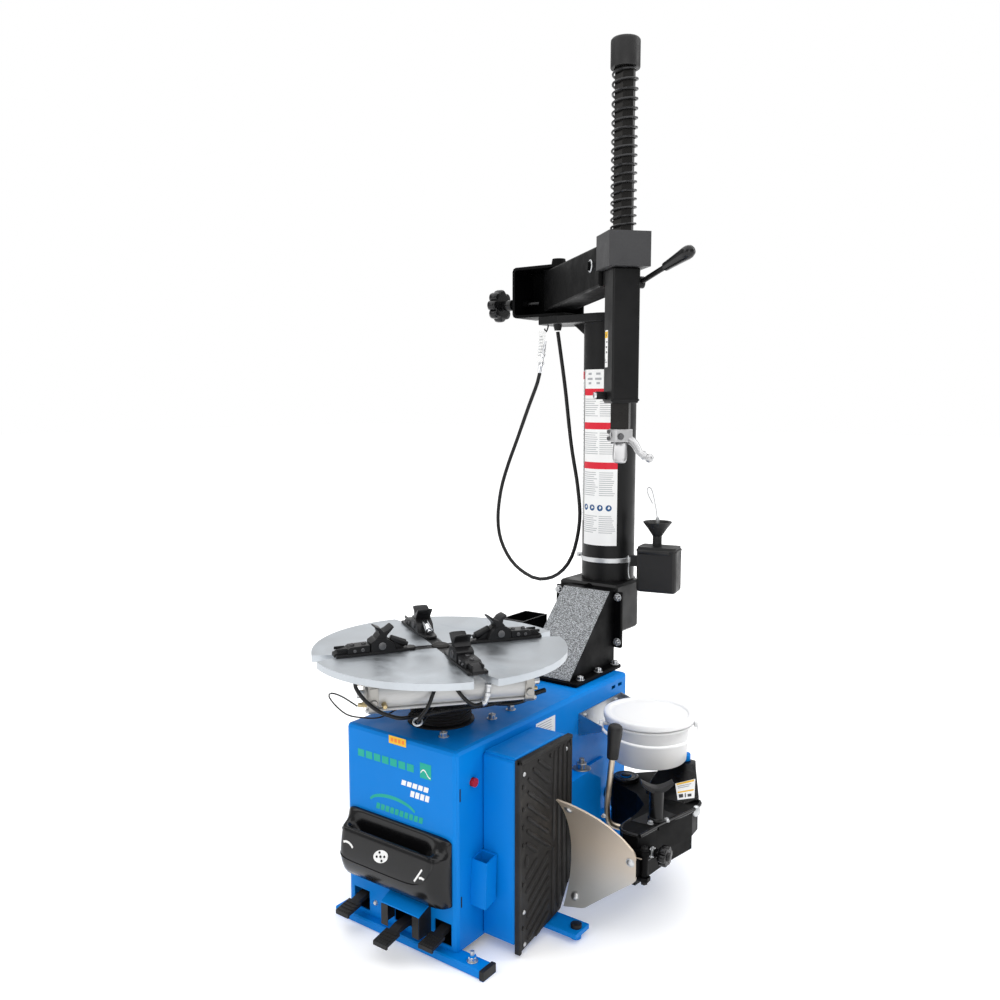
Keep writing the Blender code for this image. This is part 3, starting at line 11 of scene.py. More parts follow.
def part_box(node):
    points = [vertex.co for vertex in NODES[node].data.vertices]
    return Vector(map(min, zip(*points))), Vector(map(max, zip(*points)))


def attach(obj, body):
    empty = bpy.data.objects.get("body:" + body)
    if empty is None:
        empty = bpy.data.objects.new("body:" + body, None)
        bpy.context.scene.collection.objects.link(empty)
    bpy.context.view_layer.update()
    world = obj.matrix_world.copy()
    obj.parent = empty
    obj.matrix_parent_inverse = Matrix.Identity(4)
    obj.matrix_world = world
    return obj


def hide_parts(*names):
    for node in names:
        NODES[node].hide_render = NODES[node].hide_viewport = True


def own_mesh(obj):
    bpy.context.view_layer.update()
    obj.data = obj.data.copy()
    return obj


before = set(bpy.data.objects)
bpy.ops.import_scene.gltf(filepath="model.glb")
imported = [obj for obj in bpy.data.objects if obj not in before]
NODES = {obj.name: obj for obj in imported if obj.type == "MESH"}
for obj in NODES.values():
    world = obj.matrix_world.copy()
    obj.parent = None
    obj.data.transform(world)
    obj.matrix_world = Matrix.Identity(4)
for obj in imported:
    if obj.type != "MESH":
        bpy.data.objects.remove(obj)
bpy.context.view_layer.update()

# The layout is worked in cabinet coordinates: x is 0 on the cabinet's middle, y is 0 on its front face.
table_low, table_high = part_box("turntable_plate")
TABLE_XY = (0.0, 0.145)
ORIGIN = Vector(
    (
        (table_low.x + table_high.x) / 2 - TABLE_XY[0],
        (table_low.y + table_high.y) / 2 - TABLE_XY[1],
        0.0,
    )
)
TABLE_TOP = table_high.z

# ---- camera --------------------------------------------------------------------------------------
camera = bpy.data.objects.new("camera", bpy.data.cameras.new("camera"))
bpy.context.scene.collection.objects.link(camera)
camera.location = Vector((1.3671, -1.4722, 1.2086)) + ORIGIN
camera.rotation_euler = (math.radians(90 - 6.1993), 0.0, math.radians(36.4948))
camera.data.lens = 33.76
camera.data.sensor_width = 36.0
bpy.context.scene.camera = camera


# ---- node helpers --------------------------------------------------------------------------------
class Graph:
    """A small builder for one procedural material."""

    def __init__(self, name):
        self.material = bpy.data.materials.new(name)
        self.material.use_nodes = True
        self.tree = self.material.node_tree
        self.shader = self.tree.nodes["Principled BSDF"]
        self.place = self.node("ShaderNodeTexCoord").outputs["Object"]

    def node(self, kind, **settings):
        made = self.tree.nodes.new(kind)
        for key, value in settings.items():
            setattr(made, key, value)
        return made

    def link(self, source, target):
        self.tree.links.new(source, target)

    def stretched(self, scale):
        mapping = self.node("ShaderNodeMapping")
        mapping.inputs["Scale"].default_value = scale
        self.link(self.place, mapping.inputs["Vector"])
        return mapping.outputs["Vector"]

    def noise(self, scale, detail=3.0, rough=0.55, vector=None, distort=0.0):
        made = self.node("ShaderNodeTexNoise")
        made.inputs["Scale"].default_value = scale
        made.inputs["Detail"].default_value = detail
        made.inputs["Roughness"].default_value = rough
        made.inputs["Distortion"].default_value = distort
        self.link(self.place if vector is None else vector, made.inputs["Vector"])
        return made.outputs["Fac"]

    def ramp(self, value, low, high, start=0.0, stop=1.0):
        made = self.node("ShaderNodeMapRange", interpolation_type="SMOOTHSTEP")
        for socket, number in (("From Min", start), ("From Max", stop), ("To Min", low), ("To Max", high)):
            made.inputs[socket].default_value = number
        self.link(value, made.inputs["Value"])
        return made.outputs["Result"]

    def math(self, operation, a, b):
        made = self.node("ShaderNodeMath", operation=operation)
        for socket, value in zip(made.inputs, (a, b)):
            if isinstance(value, (int, float)):
                socket.default_value = value
            else:
                self.link(value, socket)
        return made.outputs[0]

    def mix(self, share, a, b):
        made = self.node("ShaderNodeMix", data_type="RGBA")
        self.link(share, made.inputs[0])
        for socket, value in ((made.inputs[6], a), (made.inputs[7], b)):
            if isinstance(value, (tuple, list)):
                socket.default_value = (*value[:3], 1.0)
            else:
                self.link(value, socket)
        return made.outputs[2]

    def bump(self, height, strength, distance=0.001):
        made = self.node("ShaderNodeBump")
        made.inputs["Strength"].default_value = strength
        made.inputs["Distance"].default_value = distance
        self.link(height, made.inputs["Height"])
        self.link(made.outputs["Normal"], self.shader.inputs["Normal"])

    def set(self, **values):
        for key, value in values.items():
            socket = self.shader.inputs[key.replace("_", " ")]
            if isinstance(value, (int, float)):
                socket.default_value = value
            elif isinstance(value, tuple):
                socket.default_value = (*value[:3], 1.0)
            else:
                self.link(value, socket)
        return self.material


def shade(colour, factor):
    """A colour made lighter or darker."""
    return tuple(min(1.0, c * factor) for c in colour)


def coating(name, colour, rough, peel=900.0, peel_depth=0.06, drift=0.1, metal=0.0, coat=0.0, scuff=0.0,
    spec=0.3):
    """Painted or moulded surface: slow tone drift, orange peel, uneven gloss and a few pale scuffs."""
    g = Graph(name)
    tone = g.mix(g.noise(5.0, 4.0), shade(colour, 1 - drift), shade(colour, 1 + drift))
    if scuff:
        line = g.noise(38.0, 6.0, 0.7, g.stretched((1.0, 1.0, 7.0)), 1.2)
        marks = g.ramp(line, 0.0, scuff, 0.68, 0.8)
        pale = tuple(0.55 * c + 0.25 for c in colour)
        tone = g.mix(marks, tone, pale)
    gloss = g.ramp(g.noise(14.0, 5.0, 0.6), rough * 0.78, min(1.0, rough * 1.25), 0.3, 0.7)
    g.bump(g.noise(peel, 2.0, 0.5), peel_depth, 0.0006)
    g.set(Base_Color=tone, Roughness=gloss, Metallic=metal)
    g.shader.inputs["Specular IOR Level"].default_value = spec
    if coat:
        g.set(Coat_Weight=coat, Coat_Roughness=0.12)
    return g.material


def metal(name, colour, rough, stretch=(1.0, 1.0, 1.0), grain=260.0, depth=0.05, drift=0.12, stain=None):
    """Bare metal: brushed grain, cloudy roughness and slow stains."""
    g = Graph(name)
    cloud = g.noise(9.0, 6.0, 0.65, distort=0.8)
    tone = g.mix(cloud, shade(colour, 1 - drift), shade(colour, 1 + drift))
    if stain:
        tone = g.mix(g.ramp(g.noise(4.5, 5.0, 0.6, distort=1.5), 0.0, 0.7, 0.5, 0.72), tone, stain)
    brush = g.noise(grain, 3.0, 0.6, g.stretched(stretch))
    rough_map = g.math("ADD", g.ramp(cloud, rough * 0.75, rough * 1.2, 0.3, 0.7), g.ramp(brush, -0.04, 0.05))
    g.bump(brush, depth, 0.0004)
    return g.set(Base_Color=tone, Roughness=rough_map, Metallic=1.0)


BLUE = coating("blue_powder_coat", (0.0, 0.192, 0.62), 0.42, 700.0, 0.05, 0.06, coat=0.02, scuff=0.05,
    spec=0.11)
BLACK = coating("satin_black_paint", (0.006, 0.006, 0.0063), 0.38, 420.0, 0.22, 0.25, scuff=0.02, spec=0.2)
GLOSS = coating("gloss_black_paint", (0.0025, 0.0025, 0.0028), 0.26, 420.0, 0.08, 0.2, coat=0.05, spec=0.24)
COVER_MAT = coating("gloss_black_plastic", (0.005, 0.005, 0.0055), 0.2, 1500.0, 0.04, 0.2, coat=0.06,
    scuff=0.02, spec=0.3)
PLASTIC = coating("matt_black_plastic", (0.0085, 0.0082, 0.0085), 0.5, 1100.0, 0.22, 0.2, spec=0.35)
RUBBER = coating("black_rubber", (0.0105, 0.0095, 0.009), 0.6, 420.0, 0.2, 0.25, scuff=0.05, spec=0.4)
HOSE = coating("hose_rubber", (0.006, 0.006, 0.0062), 0.38, 800.0, 0.1, 0.2)
CAST = coating("black_cast_steel", (0.013, 0.013, 0.014), 0.36, 330.0, 0.35, 0.3, metal=0.3, scuff=0.25)
# A darker, less shiny copy of the black paint: painted shade on black parts that sit in deep shadow.
SHADED_BLACK = coating("deep_black_paint", (0.0016, 0.0016, 0.0018), 0.46, 420.0, 0.1, 0.2, spec=0.07)
GREY = coating("dark_grey_paint", (0.03, 0.03, 0.032), 0.48, 420.0, 0.25, 0.2, spec=0.5)
WHITE = coating("white_label", (0.8, 0.8, 0.79), 0.38, 900.0, 0.03, 0.03)


def ink(name, colour, rough=0.4, drift=0.05):
    """A flat printed colour on a label."""
    return coating(name, colour, rough, 900.0, 0.02, drift)


GREYPRINT = ink("grey_print", (0.36, 0.37, 0.38), 0.45, 0.1)
REDPRINT = ink("red_print", (0.62, 0.012, 0.03))
BLUEPRINT = ink("blue_print", (0.01, 0.075, 0.21))
YELLOW = ink("yellow_print", (0.78, 0.46, 0.02))
ORANGE = ink("orange_print", (0.8, 0.2, 0.02))
RED = coating("red_plastic", (0.42, 0.01, 0.012), 0.3, 900.0, 0.02, 0.05, coat=0.3)
GROUND = metal("ground_steel", (0.47, 0.5, 0.53), 0.38, (1.0, 1.0, 1.0), 420.0, 0.04, 0.3, (0.38, 0.42, 0.46))
ZINC = metal("zinc_plate", (0.56, 0.57, 0.58), 0.42, grain=500.0)
CHROME = metal("bright_steel", (0.72, 0.73, 0.75), 0.16, grain=500.0, depth=0.02)
ALLOY = metal("pale_alloy", (0.48, 0.48, 0.485), 0.4, (1.0, 1.0, 6.0), 240.0, drift=0.25)
CAP = metal("sand_cast_alloy", (0.36, 0.35, 0.33), 0.5, grain=260.0, depth=0.25, drift=0.35)
HOLDER = metal("galvanised_plate", (0.5, 0.51, 0.52), 0.34, grain=200.0, depth=0.01, drift=0.05)
TAN = metal("rolled_steel_rod", (0.6, 0.52, 0.42), 0.42, (1.0, 1.0, 0.2), 320.0, 0.08)
IRON = metal("cast_iron", (0.14, 0.14, 0.145), 0.5, grain=300.0, depth=0.2)


def blade_sheet():
    """Galvanised sheet, warm above and grey towards its foot: the change by height is a painted reflection of
    the curved sheet.
    """
    g = Graph("galvanised_sheet")
    high = g.node("ShaderNodeSeparateXYZ")
    g.link(g.place, high.inputs[0])
    drift = g.math("ADD", high.outputs["Z"], g.math("MULTIPLY", g.noise(7.0, 3.0), 0.06))
    # painted reflection: the tone goes from grey at the foot to warm above
    tone = g.mix(g.ramp(drift, 0.0, 1.0, 0.12, 0.26), (0.5, 0.505, 0.5), (0.62, 0.53, 0.43))
    g.bump(g.noise(260.0, 2.0), 0.03, 0.0004)
    return g.set(Base_Color=tone, Roughness=g.ramp(g.noise(16.0, 3.0), 0.42, 0.52), Metallic=0.82)


def barrel_paint():
    """Pale extruded cylinder: half-metallic with long soft streaks."""
    g = Graph("pale_cylinder")
    streak = g.noise(60.0, 4.0, 0.6, g.stretched((1.0, 1.0, 8.0)))
    tone = g.mix(streak, (0.4, 0.4, 0.395), (0.54, 0.54, 0.535))
    g.bump(g.noise(500.0, 2.0), 0.08, 0.0004)
    return g.set(Base_Color=tone, Roughness=g.ramp(streak, 0.32, 0.48), Metallic=0.35)


def hammertone():
    """Silver speckle over black: a knobbly two-tone stone-chip coat."""
    g = Graph("hammertone_speckle")
    grain = g.noise(380.0, 3.0, 0.7)
    fleck = g.noise(820.0, 2.0, 0.6)
    mixed = g.math("ADD", g.math("MULTIPLY", grain, 0.65), g.math("MULTIPLY", fleck, 0.35))
    tone = g.mix(g.ramp(mixed, 0.0, 1.0, 0.43, 0.6), (0.03, 0.032, 0.034), (0.44, 0.46, 0.48))
    g.bump(mixed, 0.35, 0.001)
    return g.set(Base_Color=tone, Roughness=g.ramp(grain, 0.35, 0.6), Metallic=0.15)


def milky_plastic(name, colour, through, rough):
    """White plastic that lets a little light through."""
    g = Graph(name)
    tone = g.mix(g.noise(6.0, 3.0), shade(colour, 0.96), shade(colour, 1.03))
    g.bump(g.noise(300.0, 2.0), 0.05, 0.0005)
    g.set(Base_Color=tone, Roughness=g.ramp(g.noise(20.0, 3.0), rough * 0.8, rough * 1.2), Metallic=0.0)
    g.shader.inputs["Subsurface Radius"].default_value = (1.0, 1.0, 1.0)
    return g.set(Subsurface_Weight=through, Subsurface_Scale=0.006, IOR=1.49)


SHEET = blade_sheet()
BARREL = barrel_paint()
HAMMER = hammertone()
BUCKET = milky_plastic("milky_bucket", (0.7, 0.7, 0.7), 0.3, 0.34)
LID = milky_plastic("white_lid", (0.8, 0.8, 0.805), 0.15, 0.36)


# ---- mesh helpers --------------------------------------------------------------------------------
UNIT = Matrix.Identity(4)


def loft(bm, rings, caps=True, m=UNIT):
    """Join closed rings of points in order, with a face over each end; a ring of one point is a pole."""
    rows = [[bm.verts.new(m @ Vector(p)) for p in ring] for ring in rings]
    for a, b in zip(rows, rows[1:]):
        n = max(len(a), len(b))
        for i in range(n):
            j = (i + 1) % n
            if len(a) == 1:
                bm.faces.new((a[0], b[j], b[i]))
            elif len(b) == 1:
                bm.faces.new((a[i], a[j], b[0]))
            else:
                bm.faces.new((a[i], a[j], b[j], b[i]))
    if caps and len(rows[0]) > 2:
        bm.faces.new(rows[0][::-1])
    if caps and len(rows[-1]) > 2:
        bm.faces.new(rows[-1])


def basis(direction):
    """A matrix whose z is the direction."""
    return Vector(direction).to_track_quat("Z", "Y").to_matrix().to_4x4()


def spin(bm, profile, base, axis=(0, 0, 1), n=32, m=UNIT):
    """Turn a (radius, height) profile about an axis through base."""
    place = m @ Matrix.Translation(base) @ basis(axis)
    rings = []
    for r, h in profile:
        if r < 1e-6:
            rings.append([(0.0, 0.0, h)])
        else:
            turns = [math.tau * i / n for i in range(n)]
            rings.append([(r * math.cos(t), r * math.sin(t), h) for t in turns])
    loft(bm, rings, m=place)


def drum(bm, a, b, r0, r1=None, edge=0.001, n=32, m=UNIT):
    """A cylinder or cone between two points with rounded rims."""
    a, b = Vector(a), Vector(b)
    length = (b - a).length
    r1 = r0 if r1 is None else r1
    edge = min(edge, length * 0.45, r0 * 0.9, r1 * 0.9)
    q = edge * 0.3
    profile = [(r0 - edge, 0), (r0 - q, q), (r0, edge), (r1, length - edge), (r1 - q, length - q),
        (r1 - edge, length)]
    spin(bm, profile, a, b - a, n, m)


def ring(bm, centre, axis, big, small, n=32, k=10, m=UNIT):
    """A torus."""
    place = m @ Matrix.Translation(centre) @ basis(axis)
    rings = []
    for i in range(n + 1):
        t = math.tau * i / n
        row = []
        for j in range(k):
            s = math.tau * j / k
            r = big + small * math.cos(s)
            row.append((r * math.cos(t), r * math.sin(t), small * math.sin(s)))
        rings.append(row)
    loft(bm, rings, False, place)
    bmesh.ops.remove_doubles(bm, verts=bm.verts, dist=1e-7)


def tube(bm, points, radius, n=12, m=UNIT):
    """A pipe along points; radius is a number or a function of the share travelled."""
    pts = [Vector(p) for p in points]
    up = Vector((0.13, 0.31, 0.94))
    rings = []
    for i, p in enumerate(pts):
        way = (pts[min(i + 1, len(pts) - 1)] - pts[max(i - 1, 0)]).normalized()
        side = way.cross(up).normalized()
        up = side.cross(way).normalized()
        r = radius(i / (len(pts) - 1)) if callable(radius) else radius
        rings.append(
            [p + r * (math.cos(math.tau * k / n) * side + math.sin(math.tau * k / n) * up) for k in range(n)]
        )
    loft(bm, rings, m=m)


def smooth(points, spacing=0.008):
    """Points along a Catmull-Rom curve through a few knots."""
    knots = [Vector(p) for p in points]
    ends = [2 * knots[0] - knots[1]] + knots + [2 * knots[-1] - knots[-2]]
    out = []
    for p0, p1, p2, p3 in zip(ends, ends[1:], ends[2:], ends[3:]):
        steps = max(2, round((p2 - p1).length / spacing))
        for s in range(steps):
            t = s / steps
            out.append(
                0.5
                * (
                    2 * p1
                    + (p2 - p0) * t
                    + (2 * p0 - 5 * p1 + 4 * p2 - p3) * t**2
                    + (3 * p1 - p0 - 3 * p2 + p3) * t**3
                )
            )
    return out + [knots[-1]]


def prism(bm, outline, low, high, axis="Z", m=UNIT):
    """Extrude a flat outline: (x, y) along Z, (y, z) along X or (x, z) along Y."""
    place = {
        "Z": lambda u, v, w: (u, v, w),
        "X": lambda u, v, w: (w, u, v),
        "Y": lambda u, v, w: (u, w, v),
    }[axis]
    loft(bm, [[place(u, v, w) for u, v in outline] for w in (low, high)], m=m)


def box(bm, low, high, m=UNIT):
    """A block between two corners."""
    (x0, y0, z0), (x1, y1, z1) = low, high
    prism(bm, ((x0, y0), (x1, y0), (x1, y1), (x0, y1)), z0, z1, "Z", m)


def arc(centre, radius, start, stop, n):
    """Points on an arc, by angle in degrees, for an outline."""
    turns = [math.radians(start + (stop - start) * i / n) for i in range(n + 1)]
    return [(centre[0] + radius * math.cos(t), centre[1] + radius * math.sin(t)) for t in turns]


def rounded(x0, y0, x1, y1, r, n=5):
    """A rectangle outline with round corners."""
    return (
        arc((x1 - r, y0 + r), r, -90, 0, n)
        + arc((x1 - r, y1 - r), r, 0, 90, n)
        + arc((x0 + r, y1 - r), r, 90, 180, n)
        + arc((x0 + r, y0 + r), r, 180, 270, n)
    )


def bolt(bm, at, axis, size=0.0085, head=0.0075, washer=True, m=UNIT):
    """A hex head with a chamfered top on a washer."""
    place = m @ Matrix.Translation(at) @ basis(axis)
    lift = 0.0
    if washer:
        spin(bm, [(size * 1.32 - 0.0004, 0), (size * 1.32, 0.0005), (size * 1.32 - 0.0004, 0.0015)],
            (0, 0, 0), n=24, m=place)
        lift = 0.0015
    hexagon = [(size * math.cos(math.tau * i / 6), size * math.sin(math.tau * i / 6)) for i in range(6)]
    rows = [
        [(x, y, lift) for x, y in hexagon],
        [(x, y, lift + head * 0.86) for x, y in hexagon],
        [(x * 0.86, y * 0.86, lift + head) for x, y in hexagon],
    ]
    loft(bm, rows, m=place)
    spin(bm, [(size * 0.34, lift + head - 0.001), (size * 0.34, lift + head + 0.0012),
        (size * 0.26, lift + head + 0.0018)], (0, 0, 0), n=16, m=place)


def socket_screw(bm, at, axis, r=0.006, head=0.006, m=UNIT):
    """A cap screw with a recessed hexagon."""
    place = m @ Matrix.Translation(at) @ basis(axis)
    spin(
        bm,
        [(r, 0), (r, head - 0.0006), (r - 0.0006, head), (r * 0.5, head), (r * 0.48, head * 0.45),
        (0, head * 0.42)],
        (0, 0, 0),
        n=20,
        m=place,
    )


def knob(bm, centre, axis, radius, depth, lobes=7, m=UNIT):
    """A lobed hand wheel with a domed boss."""
    place = m @ Matrix.Translation(centre) @ basis(axis)
    steps = lobes * 10
    rings = []
    for share, h in ((0.9, -0.5), (0.97, -0.42), (1.0, -0.2), (1.0, 0.2), (0.97, 0.42), (0.88, 0.5)):
        row = []
        for i in range(steps):
            t = math.tau * i / steps
            wave = abs(math.cos(lobes * t / 2)) ** 0.55
            r = radius * share * (0.76 + 0.24 * wave)
            row.append((r * math.cos(t), r * math.sin(t), h * depth))
        rings.append(row)
    loft(bm, rings, m=place)
    spin(bm, [(radius * 0.42, depth * 0.4), (radius * 0.42, depth * 0.66), (radius * 0.34, depth * 0.76),
        (0, depth * 0.8)], (0, 0, 0), n=28, m=place)
    ring(bm, (0, 0, depth * 0.48), (0, 0, 1), radius * 0.58, depth * 0.06, 36, 6, place)


def new():
    return bmesh.new()


def finish_mesh(obj):
    """Apply an object's modifiers to its mesh."""
    bpy.context.view_layer.update()
    graph = bpy.context.evaluated_depsgraph_get()
    mesh = bpy.data.meshes.new_from_object(obj.evaluated_get(graph))
    obj.modifiers.clear()
    obj.data = mesh


def raw_object(name, bm):
    """An object from a finished bmesh."""
    bmesh.ops.recalc_face_normals(bm, faces=bm.faces)
    mesh = bpy.data.meshes.new(name)
    bm.to_mesh(mesh)
    bm.free()
    obj = bpy.data.objects.new(name, mesh)
    bpy.context.scene.collection.objects.link(obj)
    return obj


ROUND_OVER = math.radians(38)  # edges sharper than this are rounded


def piece(name, bm, mat, body, replaces=(), slot=None, bevel=0.0, segs=2, sharp=38, cuts=()):
    """One visible piece: cut, bevelled, shaded, riding on a body and standing for CAD nodes."""
    obj = raw_object(name, bm)
    tools = []
    for cut in cuts:
        tool = raw_object("tool", cut)
        mod = obj.modifiers.new("cut", "BOOLEAN")
        mod.operation, mod.solver, mod.object = "DIFFERENCE", "EXACT", tool
        tools.append(tool)
    if bevel:
        mod = obj.modifiers.new("round", "BEVEL")
        mod.width, mod.segments, mod.limit_method, mod.angle_limit = bevel, segs, "ANGLE", ROUND_OVER
        mod.use_clamp_overlap = True
    if tools or bevel:
        finish_mesh(obj)
    for tool in tools:
        bpy.data.objects.remove(tool, do_unlink=True)
    obj.data.materials.clear()
    obj.data.materials.append(mat)
    obj.data.shade_smooth()
    obj.data.set_sharp_from_angle(angle=math.radians(sharp))
    if bevel:
        obj.modifiers.new("even_shading", "WEIGHTED_NORMAL").keep_sharp = True
        finish_mesh(obj)
    obj.location = ORIGIN
    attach(obj, body)
    if replaces:
        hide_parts(*replaces)
    slot = slot or (replaces[0] if replaces else None)
    return obj


# ---- inflation hose ------------------------------------------------------------------------------
HOSE_KNOTS = (
    (-0.142, 0.85, 1.4),
    (-0.133, 0.85, 1.348),
    (-0.116, 0.853, 1.2323),
    (-0.096, 0.855, 1.0752),
    (-0.074, 0.858, 0.95),
    (-0.068, 0.86, 0.8477),
    (-0.093, 0.86, 0.7438),
    (-0.1419, 0.86, 0.6842),
    (-0.2069, 0.86, 0.6614),
    (-0.2626, 0.86, 0.6737),
    (-0.3158, 0.86, 0.7087),
    (-0.3544, 0.86, 0.768),
    (-0.3661, 0.86, 0.8364),
    (-0.3544, 0.86, 0.925),
    (-0.3277, 0.86, 1.0039),
    (-0.2919, 0.858, 1.0835),
    (-0.2461, 0.856, 1.1881),
    (-0.214, 0.853, 1.256),
    (-0.2, 0.85, 1.303),
)
HOSE_D = 0.011
hose_line = smooth(HOSE_KNOTS, 0.0245)
hose_curve = bpy.data.curves.new("inflation_line", "CURVE")
hose_curve.dimensions = "3D"
hose_curve.bevel_depth = HOSE_D / 2
hose_curve.bevel_resolution = 6
hose_curve.use_fill_caps = True
spline = hose_curve.splines.new("POLY")
spline.points.add(len(hose_line) - 1)
for point, co in zip(spline.points, hose_line):
    point.co = (*co, 1.0)
spline.use_smooth = True
hose_curve.materials.append(HOSE)
hose = bpy.data.objects.new("inflation_line", hose_curve)
bpy.context.scene.collection.objects.link(hose)
hose.location = ORIGIN
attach(hose, "frame")
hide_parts("inflation_hose")

way = (hose_line[-1] - hose_line[-2]).normalized()
bm = new()
tip = hose_line[-1]
spin(
    bm,
    [(0.0064, -0.02), (0.0072, -0.018), (0.0072, -0.002), (0.0082, 0.0), (0.0082, 0.01), (0.007, 0.012),
    (0.007, 0.022), (0.0084, 0.024), (0.0084, 0.034), (0.006, 0.037), (0.0045, 0.06), (0.003, 0.075)],
    tip,
    way,
    24,
)
coupler = piece("hose_coupler", bm, CHROME, "frame", ["hose_connector"])

# ---- shared places -------------------------------------------------------------------------------
GAP = 0.0003
CAB_X = 0.1628
CAB_TOP = 0.467
COLUMN_XY = (0.022, 0.872)
COLUMN_R = 0.075
ARM = Matrix.Translation((-0.154, 0.872, 0)) @ Matrix.Rotation(math.radians(-42.0), 4, "Z")
HEX = ARM @ Matrix.Translation((0.572, 0, 0))
TABLE = Matrix.Translation((*TABLE_XY, 0))
CYLINDERS = TABLE @ Matrix.Rotation(math.radians(51.0), 4, "Z")
SLOT_ANGLES = (58.6, 148.6, 238.6, 328.6)
PLATE_LOW = TABLE_TOP - 0.015
Z = (0, 0, 1)


def keep(names, mat, bevel=0.0, segs=2):
    """Dress CAD nodes whose shape stays: a procedural material and softened edges."""
    for name in names.split():
        node = NODES[name]
        for held in node.material_slots:
            held.material = mat
        if bevel:
            mod = node.modifiers.new("flatten", "DECIMATE")
            mod.decimate_type, mod.angle_limit = "DISSOLVE", math.radians(0.6)
            mod = node.modifiers.new("soften", "BEVEL")
            mod.width, mod.segments, mod.limit_method = bevel, segs, "ANGLE"
            mod.angle_limit, mod.harden_normals = math.radians(32), True


keep("cabinet_shell pad_housing tool_pocket", BLUE, 0.0022, 3)
keep("front_foot_rail rear_foot_rail", BLUE, 0.001)
keep("column_foot column_top_plate", BLACK, 0.0015)
# The swing arm, its pivot housing and the breaker arm take the darker black, with painted shade.
keep("swing_arm", SHADED_BLACK, 0.0015)
keep("breaker_bracket", BLUE)
keep("drive_motor", BLACK)
keep("gearbox valve_block breaker_cylinder", BARREL, 0.001)
keep("arm_pivot_housing", SHADED_BLACK, 0.001)
keep("bar_lock_block", GREY, 0.0022, 3)
keep("tool_tray", GLOSS, 0.0006)
keep("accessory_box", PLASTIC, 0.0025, 3)
keep("pedal_left pedal_centre pedal_right", PLASTIC, 0.0007)
keep("breaker_arm", SHADED_BLACK, 0.003, 3)
keep("breaker_rod", CHROME)
keep("gearbox_pulley motor_pulley", IRON)
keep("drive_belt", RUBBER)
keep("bucket_holder", HOLDER, 0.0006)
keep("stop_button", RED, 0.0008)
keep("hub_seal_ring", RUBBER)
keep("paste_brush", ZINC)

# ---- column: smooth tube, labels, bracket face ----------------------------------------------------
bm = new()
wall = [(0.07, 0.5603), (0.0742, 0.5603), (0.075, 0.5611), (0.075, 1.4187), (0.0742, 1.4195), (0.07, 1.4195),
    (0.07, 0.5603)]
spin(bm, wall, (*COLUMN_XY, 0), n=96)
bmesh.ops.remove_doubles(bm, verts=bm.verts, dist=1e-6)
piece("column", bm, BLACK, "frame", ["column_tube"])


def on_column(degrees, z, lift):
    """A point a little outside the column's surface."""
    a, r = math.radians(degrees), COLUMN_R + lift
    return (COLUMN_XY[0] + r * math.cos(a), COLUMN_XY[1] + r * math.sin(a), z)


def wrap(bm, outline, base, lift):
    """A thin skin on the column from an outline of (degrees, z)."""
    loft(bm, [[on_column(a, z, r) for a, z in outline] for r in (base, lift)])


def band_skin(bm, a0, a1, z0, z1, lift, base):
    """A thin curved rectangle on the column, swept in slices so that it stays round."""
    n = max(2, round(abs(a1 - a0) / 4))
    corners = ((base, z0), (lift, z0), (lift, z1), (base, z1))
    loft(bm, [[on_column(a0 + (a1 - a0) * i / n, z, r) for r, z in corners] for i in range(n + 1)])


LABEL = (-127.0, -42.0)
bm = new()
band_skin(bm, *LABEL, 0.795, 1.288, 0.0005, 0.0001)
piece("column_label", bm, WHITE, "frame", slot="column_tube")
bm = new()
for z0, z1 in ((1.216, 1.235), (1.122, 1.141), (1.011, 1.03)):
    band_skin(bm, *LABEL, z0, z1, 0.0007, 0.0004)
piece("label_bands", bm, REDPRINT, "frame", slot="column_tube")
bm = new()
draw = random.Random(4)
for top, count in ((1.206, 9), (1.112, 11), (1.001, 12), (0.878, 9)):
    for k in range(count):
        z = top - 0.0058 * k
        for a0, a1 in ((-124.0, -84.0), (-81.5, -45.0)):
            stop_at = a0 + (a1 - a0) * draw.uniform(0.72, 1.0)
            band_skin(bm, a0, stop_at, z - 0.0011, z + 0.0007, 0.0007, 0.0004)
for a in (-108.0, -86.0, -64.0):
    for dz, wide in ((1.276, 5.0), (1.262, 7.5), (1.25, 4.0)):
        band_skin(bm, a - wide, a + wide, dz - 0.003, dz + 0.003, 0.0007, 0.0004)
piece("label_lines", bm, GREYPRINT, "frame", slot="column_tube")
bm = new()
for a in (-117.0, -98.0, -79.0, -60.0):
    disc = []
    for i in range(20):
        t = math.tau * i / 20
        disc.append((a + 6.6 * math.cos(t), 0.9015 + 0.0088 * math.sin(t)))
    wrap(bm, disc, 0.0004, 0.0007)
piece("label_discs", bm, BLUEPRINT, "frame", slot="column_tube")
bm = new()
for a in (-117.0, -98.0, -79.0, -60.0):
    mark = []
    for i in range(12):
        t = math.tau * i / 12
        mark.append((a + (1.6 + 1.1 * (i % 2)) * math.cos(t),
            0.9015 + (0.0022 + 0.0022 * (i % 3 == 0)) * math.sin(t)))
    wrap(bm, mark, 0.0006, 0.0009)
piece("label_disc_marks", bm, WHITE, "frame", slot="column_tube")
bm = new()
band_skin(bm, -148.0, -132.5, 0.86, 1.286, 0.0005, 0.0001)
piece("side_label", bm, WHITE, "frame", slot="column_tube")
bm = new()
band_skin(bm, -148.0, -132.5, 1.262, 1.284, 0.0007, 0.0004)
piece("side_label_mark", bm, REDPRINT, "frame", slot="column_tube")
bm = new()
for k in range(34):
    band_skin(bm, -145.5, -135.0 - 3.0 * draw.random(), 1.25 - 0.0112 * k, 1.2518 - 0.0112 * k, 0.0007,
        0.0004)
piece("side_label_lines", bm, GREYPRINT, "frame", slot="column_tube")

